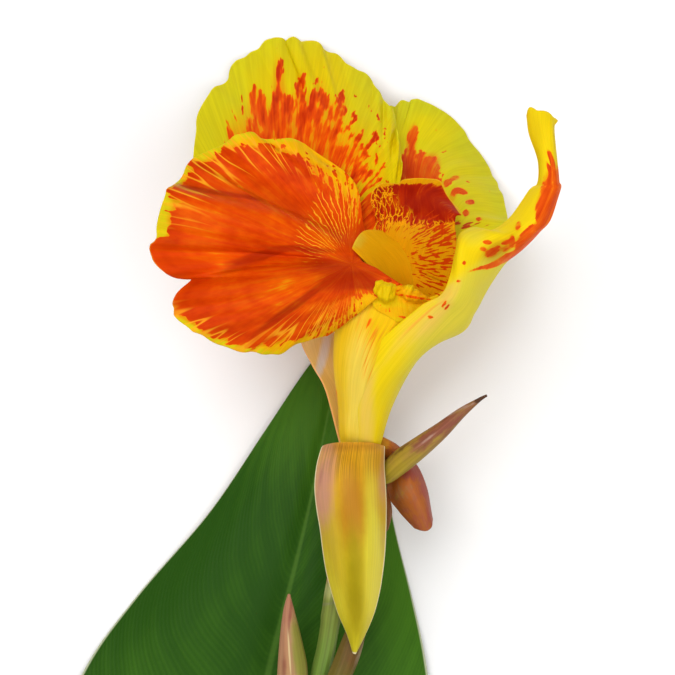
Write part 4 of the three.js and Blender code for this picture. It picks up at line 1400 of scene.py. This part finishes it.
@dataclass
class Throat(Assembly):
    """Flower tube with the stamen, the style and the labellum that rise from it."""

    @staticmethod
    def labellum() -> Blade:
        """Long strap that leaves the tube's right side, rolled at its foot and turned up at its tip."""
        ruffle = Ruffle(scallops=2.5, bite=0.7, crinkle=0.35, crinkles=(3, 14), seed=2.2)
        flush = laid((551, 158, 2.6, 9, 0.8, 22, 0.5), (548, 166, 1.6, 6, 0.6, 20),
                     (556, 192, 15, 26, 0.95, -4, 0.35), (552, 212, 16, 20, 0.95, 20, 0.35),
                     (533, 238, 22, 11, 0.95, 42, 0.35), (504, 259, 22, 3.6, 0.9, 27, 0.4),
                     (480, 268, 14, 1.6, 0.7, 18, 0.4), (518, 226, 2.8, 5, 0.9, -20), (512, 240, 2.6, 6, 0.9),
                     (506, 242, 5, 2.4, 0.9, 20), (507, 248, 6, 3, 0.8, 30), (487.5, 242, 4, 2.4, 0.9),
                     (483, 249, 3.4, 2.6, 0.9), (491, 253, 7, 4.4, 0.95, 20), (498, 248, 4, 3, 0.6),
                     (464, 263, 2, 2, 0.6), (444, 304, 5, 1.8, 0.7, 55), (459, 281, 2.4, 1.6, 0.6),
                     (430, 317, 3, 2, 0.7), (447, 307, 4, 1.2, 0.7, 50))
        tone = laid((470, 296, 52, 18, 1.1, 45, 1), (425, 345, 64, 16, 0.55, 54, 1), (546, 150, 30, 60, -1.0),
                    (474, 236, 16, 12, 0.6, 0, 0.9), base=-0.1, beyond=(0.3, 1.0, 0.4))
        # painted shade along the crease of the strap's front fold
        deep = laid((497, 250, 17, 9, 0.75, 30, 0.8), (520, 236, 8, 12, 0.35, 40, 1))
        paint_layers = {"flush": flush, "tone": tone, "deep": deep,
                    "lines": laid((428, 322, 26, 16, 0.8, 48, 0.9), (398, 360, 30, 8, 0.3, 62)),
                    # beige: its third patch carries the tube's pale band over the strap's foot, partly its colour
                    # and partly a painted highlight
                    "beige": laid((430, 318, 30, 13, 0.75, 46, 0.9), (452, 290, 18, 6, 0.4, 50),
                                  (366, 410, 9, 60, 0.8, 0, 1), (392, 352, 30, 9, 0.5, 60, 1)),
                    "rim": Channel(sides=0.56, side_band=0.07)}
        return Blade("labellum_strap", LABELLUM, 28, 130, 0.7, 0.4, 0.02, ruffle, None, paint_layers)

    @staticmethod
    def stamen() -> Blade:
        """Small dark petal over the throat with a bright rim and a netted foot."""
        ruffle = Ruffle(waves=3, depth=0.3, crinkle=0.25, crinkles=(6, 3), seed=6.6)
        outline = Outline((
            (371, 203), (371, 196), (373, 190), (377, 186), (383, 183), (392, 183), (399, 183.5), (402, 180),
            (410, 178.5), (420, 178), (431, 178.7), (438, 179.5), (442, 182.5), (447, 194), (451, 200),
            (456, 206), (460, 211), (462, 216), (461, 221)), 0.4)
        paint_layers = {
            "flush": laid((424, 204, 48, 21, 0.95, -3, 0.25), (380, 206, 18, 22, 0.8)),
            "dash": laid((446, 258, 40, 40, 0.5), (425, 228, 54, 10, 0.15), (376, 222, 16, 20, 0.4)),
            "net": laid((382, 204, 15, 24, 1.0, 0, 0.4), (425, 224, 40, 4, 0.9, -2), (400, 216, 14, 9, 0.9)),
            # deep: painted shade over the petal's middle, which stands in the throat's shadow
            "deep": laid((432, 206, 24, 14, 0.5)),
            "tone": Channel(0.2), "rim": laid((452.5, 200, 18, 1.6, 0.9, -60), margin=1.0, band=0.035)}
        return Blade("stamen_petal", PETALOID_STAMEN, 56, 40, 0.6, 0.4, 0.04, ruffle, outline, paint_layers)

    @staticmethod
    def fold() -> Blade:
        """Crumpled fold over the front of the tube's mouth."""
        paint_layers = {"tone": laid((420, 298, 20, 8, 0.8), (400, 290, 6, 6, 0.6), (392, 312, 30, 6, 0.45),
                                 base=0.1),
                    "flush": laid((391, 280.5, 14, 2.6, 1.0, -14), (413, 297, 18, 1.4, 0.8, -9),
                                  (399, 288, 2, 6, 0.5, -30), (402, 317, 5, 1.5, 0.7, -12), (378, 305, 4, 2, 0.4),
                                  (388, 310, 10, 3, 0.3)),
                    "lines": laid((415, 294, 30, 9, 0.4))}
        ruffle = Ruffle(crinkle=0.6, crinkles=(14, 5), pleats=20, pleat_depth=0.2, seed=15.0)
        return Blade("mouth_fold", MOUTH_FOLD, 80, 44, 0.5, 0.4, ruffle=ruffle, paint_layers=paint_layers)

    @staticmethod
    def style() -> Blade:
        """Flat pale strap with a blunt tip."""
        paint_layers = {"tone": laid((354, 240, 11, 9, 0.75, 0, 0.8))}
        return Blade("style_strap", STYLE, 20, 30, 0.6, 0.5, ruffle=Ruffle(crinkle=0.12, seed=9.0),
                     paint_layers=paint_layers)

    def pieces(self) -> Iterator[Piece]:
        """The tube, and what rises from it."""
        yield Piece(Funnel(), Slot.TUBE)
        yield Piece(self.labellum(), Slot.LABELLUM, PetalFinish(
            "labellum_skin", (244, 212, 16), (228, 210, 62), beige=(238, 200, 84), line=(244, 170, 60),
            blotch=((248, 156, 10), (244, 110, 14), (236, 86, 10), (206, 54, 6)), spots=(7, 26), contrast=1.4,
            line_count=9))
        # the stamen's blotch colours are darker than the other staminodes', partly as painted shade for the
        # throat's shadow
        yield Piece(self.stamen(), Slot.STAMEN, PetalFinish(
            "stamen_skin", GOLD, (222, 150, 4), warm=GOLD, rim=(238, 176, 12), spots=(26, 9),
            blotch=((206, 84, 0), (192, 48, 0), (172, 30, 0), (150, 18, 0)), contrast=1.3, net_cells=(17, 9)))
        yield Piece(self.style(), Slot.STYLE, PetalFinish(
            "style_skin", (232, 168, 8), (222, 182, 44), spots=(4, 6)))
        yield Piece(self.fold(), Slot.TUBE, PetalFinish(
            "fold_skin", (230, 192, 6), (238, 168, 6), spots=(20, 8), line=(236, 140, 4)), stands_for=False)


def warts(turn: np.ndarray, along: np.ndarray) -> np.ndarray:
    """Rounded bumps in offset rows, from 0 to 1, at shares round and along the fruit."""
    return np.maximum(0, np.sin(9 * 2 * math.pi * turn) * np.sin(6 * math.pi * along))


def knobbly(angle: np.ndarray, along: np.ndarray) -> np.ndarray:
    """Relief of the fruit: low warts on an uneven skin."""
    return 0.12 * warts(angle / (2 * math.pi), along) ** 0.8 + 0.015 * grain(angle * 4, along * 9, 2.0)


@dataclass(frozen=True)
class Fruit(Limb):
    """Limb that keeps its warts as a value."""

    def build(self) -> bpy.types.Object:
        """Makes the fruit's mesh with its map, paint layers and warts."""
        obj = super().build()
        write_values(obj, "wart", warts(read_values(obj, "across"), read_values(obj, "along")))
        return obj


@dataclass
class Calyx(Assembly):
    """Hanging petals and sepals about the foot of the tube, and the warty ovary."""

    @staticmethod
    def front() -> Piece:
        """Hooded petal in front of the ovary."""
        paint_layers = {
            "gold": laid((350, 470, 20, 26, 0.7, 0, 1)),
            "bright": laid((371, 530, 9, 70, 0.75, 3, 1), (372, 590, 9, 50, 0.5, -6, 1),
                           (336, 596, 8, 50, 0.6, 14, 1)),
            "rust": laid((352, 508, 15, 44, 0.85, 0, 1), (329, 451, 14, 9, 0.5, 0, 1),
                         (378, 455, 14, 14, 0.3, 0, 1), (352, 446, 40, 4, 0.4, 0, 1)),
            "olive": laid((354, 570, 10, 50, 0.75, 2, 1), (355, 622, 9, 26, 0.35, 0, 1)),
            "rose": laid((323, 488, 13, 48, 0.8, -6, 1), (384, 478, 6, 36, 0.6, 0, 1)),
            "plum": laid((321, 474, 2.5, 26, 0.5, -8, 1)),
            "combed": laid((352, 456, 34, 22, 0.9, 0, 0.9)),
            "rim": Channel(margin=1.2, band=0.02, sides=1.7, side_band=0.12)}
        layers = (("bright", (226, 208, 52)), ("gold", (216, 160, 12)), ("rust", (186, 126, 22)),
                  ("olive", (166, 146, 4)), ("rose", (206, 144, 112)), ("plum", (166, 100, 80)))
        blade = Blade("front_petal", [hooded(station) for station in FRONT_STATIONS], 44, 96, 0.7, 0.5,
                      ruffle=Ruffle(crinkle=0.15, crinkles=(4, 5), seed=4.4), paint_layers=paint_layers)
        return Piece(blade, Slot.PETAL_FRONT, BractFinish(
            "front_petal_skin", (232, 166, 44), (204, 172, 30), (206, 192, 34), layers, rim=(242, 226, 176),
            ribs=60, rib_depth=0.08, mottle=0.3, glow=0.15))

    @staticmethod
    def right() -> Piece:
        """Brown petal that hangs to the right."""
        paint_layers = {"rose": laid((431, 492, 7, 44, 0.7, 12, 0.9), (412, 470, 16, 9, 0.5), base=0.35),
                    "olive": laid((402, 492, 14, 16, 0.4, 0, 1)),
                    "gold": laid((384, 442, 7, 6, 0.8, -20, 0.9)),
                    # dark: painted shadow that the front petal casts onto this petal's top
                    "dark": laid((400, 452, 8, 3, 0.5, -30), (390, 464, 4, 10, 0.4, 20))}
        layers = (("rose", (158, 76, 60)), ("olive", (164, 114, 56)), ("dark", (112, 48, 24)),
                  ("gold", (204, 140, 30)))
        blade = Blade("right_petal", PETAL_RIGHT, 36, 60, 0.8, 0.5,
                      ruffle=Ruffle(crinkle=0.3, crinkles=(4, 6), seed=1.4), paint_layers=paint_layers)
        return Piece(blade, Slot.PETAL_RIGHT, BractFinish(
            "right_petal_skin", (192, 104, 28), (178, 98, 36), (160, 92, 46), layers, ribs=26, rib_depth=0.08,
            mottle=1.5))

    @staticmethod
    def left() -> Piece:
        """Narrow petal that rises on the left."""
        paint_layers = {"lilac": laid((324, 352, 5, 30, 0.9, -14, 0.9)),
                    "flame": laid((315, 385, 6, 66, 1.0, -25, 0.9)),
                    "rim": Channel(sides=0.6, side_band=0.08)}
        layers = (("lilac", (232, 220, 214)), ("flame", (250, 150, 72)))
        blade = Blade("left_petal", PETAL_LEFT, 24, 50, 0.7, 0.4,
                      ruffle=Ruffle(crinkle=0.2, crinkles=(3, 5), seed=1.9), paint_layers=paint_layers)
        return Piece(blade, Slot.PETAL_LEFT, BractFinish(
            "left_petal_skin", (214, 160, 58), (240, 196, 100), (246, 222, 168), layers, rim=(250, 176, 110),
            rib_depth=0.08, glow=0.2))

    @staticmethod
    def sepals() -> Iterator[Piece]:
        """Three short sepals on the ovary's rim."""
        sepals = (("right", SEPAL_RIGHT, Slot.SEPAL_RIGHT), ("left", SEPAL_LEFT, Slot.SEPAL_LEFT),
                  ("back", SEPAL_BACK, Slot.SEPAL_BACK))
        for side, rows, slot in sepals:
            blade = Blade(side + "_sepal", rows, 14, 28, 0.7, 0.4, ruffle=Ruffle(crinkle=0.1, seed=7.0),
                          paint_layers={"rust": Channel(0.3), "rim": Channel(sides=0.3)})
            yield Piece(blade, slot, BractFinish(side + "_sepal_skin", (132, 98, 44), (152, 92, 48), (124, 84, 40),
                                                 (("rust", (164, 84, 44)),), (168, 120, 64)))

    def pieces(self) -> Iterator[Piece]:
        """Petals, sepals and the ovary."""
        yield from (self.front(), self.right(), self.left())
        yield from self.sepals()
        yield Piece(Fruit("warty_ovary", OVARY, 72, 40, knobbly), Slot.OVARY, WartyFinish("warty_fruit"))


# ---------------------------------------------------------------- the shoot
@dataclass
class Shoot(Assembly):
    """Stem with its bracts and the closed side bud."""

    wrap: float = 0.07

    def wrapped(self, turns: float) -> Callable[[np.ndarray, np.ndarray], np.ndarray]:
        """Relief of a sheath that overlaps itself along a slanting seam.

        Args:
            turns: How often the seam goes round the limb.

        Returns:
            Relief at each angle and share along.
        """
        def relief(angle: np.ndarray, along: np.ndarray) -> np.ndarray:
            """Step that fades round the limb."""
            share = (angle / (2 * math.pi) + turns * along + 0.3) % 1.0
            return self.wrap * (share - 0.5) + 0.012 * grain(angle * 5, along * 8, 3.0)
        return relief

    @staticmethod
    def jointed(angle: np.ndarray, along: np.ndarray) -> np.ndarray:
        """Relief of the stem: slight swellings at its nodes and fine ribs."""
        swelling = sum(0.09 * np.exp(-((along - node) / 0.008) ** 2) for node in (0.135, 0.31, 0.62))
        return swelling + 0.012 * np.sin(16 * angle) + 0.012 * grain(angle * 2, along * 30, 6.0)

    def stem(self) -> Piece:
        """Flower stem, cut across at its foot."""
        paint_layers = {"rose": laid((328, 576, 12, 9, 0.9, 0, 0.8)),
                    "pale": laid((329, 590, 9, 11, 0.7, 0, 0.8)),
                    "node": laid((327, 604, 12, 2, 0.7, 8, 0.8))}
        layers = (("rose", (166, 116, 78)), ("pale", (182, 184, 114)), ("node", (134, 132, 96)))
        limb = Limb("flowering_stem", STEM, 40, 150, self.jointed, paint_layers)
        return Piece(limb, Slot.STEM, BractFinish(
            "stem_skin", (150, 140, 70), (108, 142, 56), (104, 138, 56), layers, ribs=26, rib_depth=0.3,
            roughness=0.42))

    def bud(self) -> Piece:
        """Closed bud left of the stem."""
        paint_layers = {"olive": laid((300, 655, 8, 46, 0.8, 8, 0.7)),
                    "rose": laid((282, 640, 7, 60, 0.6, 0, 0.8), (289, 608, 7, 14, 0.7)),
                    "plum": laid((290, 616, 2, 22, 0.6, -6, 0.8), (284, 668, 2.5, 20, 0.6, 0, 0.8)),
                    "rim": laid((289.5, 655, 1.2, 32, 0.75, 4, 0.8))}
        layers = (("olive", (140, 138, 58)), ("rose", (178, 122, 92)), ("plum", (140, 78, 62)))
        limb = Limb("closed_bud", SIDE_BUD, 44, 72, self.wrapped(0.35), paint_layers)
        return Piece(limb, Slot.BUD, BractFinish(
            "bud_skin", (188, 136, 104), (178, 138, 92), (150, 140, 66), layers, rim=(206, 182, 132), ribs=18,
            rib_depth=0.18))

    def right_bract(self) -> Piece:
        """Pointed spike with a dry, hooked tip."""
        paint_layers = {"rose": laid((448, 424, 38, 12, 0.7, 36, 0.9), (430, 436, 18, 5, 0.35, 38, 0.9)),
                    # lilac: thin painted highlights along the bract
                    "lilac": laid((456, 411, 20, 1.8, 0.7, 24, 0.9), (430, 437, 14, 1.6, 0.5, 38, 0.9)),
                    "dark": laid((482, 398, 9, 6, 1.0), (398, 452, 12, 4, 0.5, 38, 0.9))}
        layers = (("rose", (144, 84, 64)), ("lilac", (178, 144, 126)), ("dark", (84, 52, 34)))
        limb = Limb("right_bract", BRACT_RIGHT, 40, 72, self.wrapped(0.2), paint_layers)
        return Piece(limb, Slot.BRACT_RIGHT, BractFinish(
            "right_bract_skin", (178, 160, 30), (166, 130, 64), (120, 74, 50), layers, ribs=24, rib_depth=0.25,
            mottle=1.2))

    @staticmethod
    def lower_bract() -> Piece:
        """Bract low on the stem."""
        paint_layers = {"rose": laid((353, 655, 12, 20, 0.5, -20, 0.8), base=0.1),
                    "beige": laid((362, 650, 2.5, 18, 0.6, -24, 0.8))}
        layers = (("rose", (112, 74, 36)), ("beige", (156, 136, 100)))
        blade = Blade("lower_bract", BRACT_LOWER, 20, 50, 0.7, 0.4, ruffle=Ruffle(crinkle=0.15, seed=2.7),
                      paint_layers=paint_layers)
        return Piece(blade, Slot.BRACT_LOWER, BractFinish(
            "lower_bract_skin", (128, 134, 46), (112, 98, 38), (100, 72, 32), layers))

    def pieces(self) -> Iterator[Piece]:
        """The stem, the bud and both bracts."""
        yield from (self.stem(), self.bud(), self.right_bract(), self.lower_bract())


@dataclass
class BroadLeaf(Assembly):
    """Uppermost leaf: broad blade, petiole and the sheath that clasps the stem."""

    across: int = 72
    along: int = 150
    thick: float = 0.6
    groove: float = 0.8

    def blade_row(self, station: tuple[float, ...]) -> list[tuple[float, float, float]]:
        """Guide points across the blade, arched between midrib and edges.

        Args:
            station: Place and heights as LEAF_BLADE lists them.

        Returns:
            Seven points.
        """
        y, x, left, right, crest, lift_left, lift_right = station
        def half(side: int, width: float, lift: float) -> list[tuple[float, float, float]]:
            """Points from one edge to beside the midrib."""
            return [(x + side * width, y, lift), (x + side * 0.62 * width, y, 0.72 * crest + 0.28 * lift),
                    (x + side * 0.2 * width, y, crest)]
        middle = (x, y, crest - min(self.groove, crest / 3))
        return [*half(-1, left, lift_left), middle, *half(1, right, lift_right)[::-1]]

    @staticmethod
    def sheath_row(station: tuple[float, ...]) -> list[tuple[float, float, float]]:
        """Guide points round the stem, open above it.

        Args:
            station: Place and size as LEAF_SHEATH lists them.

        Returns:
            Seven points.
        """
        y, x, z, radius, reach = station
        turns = [math.radians((step / 6 - 0.5) * reach - 90) for step in range(7)]
        return [(x + radius * math.cos(a), y, z + radius * math.sin(a)) for a in turns]

    def pieces(self) -> Iterator[Piece]:
        """The one leaf."""
        rows = [*map(self.blade_row, LEAF_BLADE), *map(self.sheath_row, LEAF_SHEATH)]
        # painted shade over the blade's left half and painted light at its top and along its right edge
        light = laid((190, 570, 110, 100, -0.42, 40, 1), (400, 600, 40, 110, 0.2, 0, 1),
                     (300, 400, 60, 60, 0.5, 0, 1), (392, 550, 26, 60, 0.4, 0, 1), base=0.42)
        blade = Blade("top_leaf", rows, self.across, self.along, self.thick, self.thick * 0.7,
                      ruffle=Ruffle(crinkle=0.35, crinkles=(3, 9), seed=12.0), paint_layers={"light": light})
        yield Piece(blade, Slot.LEAF, LeafFinish("leaf_blade"))


# ---------------------------------------------------------------- studio
@dataclass
class Studio:
    """Pale floor, soft lamps and the camera that looks straight down."""

    floor_size: float = 6.0
    floor_level: float = -0.0002
    lens: float = 149.33
    sensor: float = 36.0
    nearest: float = 0.01
    ambient: float = 0.34
    aim: tuple[float, float, float] = (0.0, 0.05, 0.03)

    def floor(self) -> None:
        """Lays the floor."""
        alone()
        bpy.ops.mesh.primitive_plane_add(size=self.floor_size, location=(0, 0, self.floor_level))
        floor = named_last("floor")
        dress(floor, FloorFinish().make())

    def lamp(self, name: str, place: tuple[float, float, float], size: float, power: float) -> None:
        """Adds a square soft lamp that points at the plant.

        Args:
            name: Its name.
            place: Its place, in metres.
            size: Its side, in metres.
            power: Its power, in watts.
        """
        alone()
        bpy.ops.object.light_add(type="AREA", location=place)
        lamp = bpy.context.object
        lamp.name = lamp.data.name = name
        lamp.data.size = size
        lamp.data.energy = power
        way = Vector(self.aim) - Vector(place)
        lamp.rotation_euler = way.to_track_quat("-Z", "Y").to_euler()

    def lamps(self) -> None:
        """Lights the plant from above its left, with weaker fills."""
        self.lamp("key", (-0.45, 0.55, 1.5), 1.0, 14.5)
        self.lamp("fill", (0.6, -0.6, 1.4), 1.4, 9.0)
        self.lamp("overhead", (0.1, 0.1, 1.9), 1.6, 7.0)
        world = bpy.data.worlds.new("studio")
        world.use_nodes = True
        inputs = world.node_tree.nodes["Background"].inputs
        inputs["Color"].default_value = (1, 1, 1, 1)
        inputs["Strength"].default_value = self.ambient
        bpy.context.scene.world = world

    def camera(self) -> None:
        """Hangs the camera over the bloom's throat."""
        alone()
        bpy.ops.object.camera_add(location=tuple((PLACE + (0, 0, EYE)) * MM), rotation=(0, 0, 0))
        camera = bpy.context.object
        camera.name = camera.data.name = "camera"
        camera.data.lens = self.lens
        camera.data.sensor_width = self.sensor
        camera.data.clip_start = self.nearest
        bpy.context.scene.camera = camera

    def build(self) -> None:
        """Sets up the studio."""
        self.camera()
        self.floor()
        self.lamps()
        bpy.context.scene.view_settings.view_transform = "Standard"


def main() -> None:
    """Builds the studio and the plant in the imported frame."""
    logging.basicConfig(level=logging.INFO, format="%(name)s: %(message)s")
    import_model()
    Studio().build()
    for assembly in (BroadLeaf(), Shoot(), Calyx(), Throat(), Staminodes()):
        assembly.build()


if __name__ == "__main__":
    main()
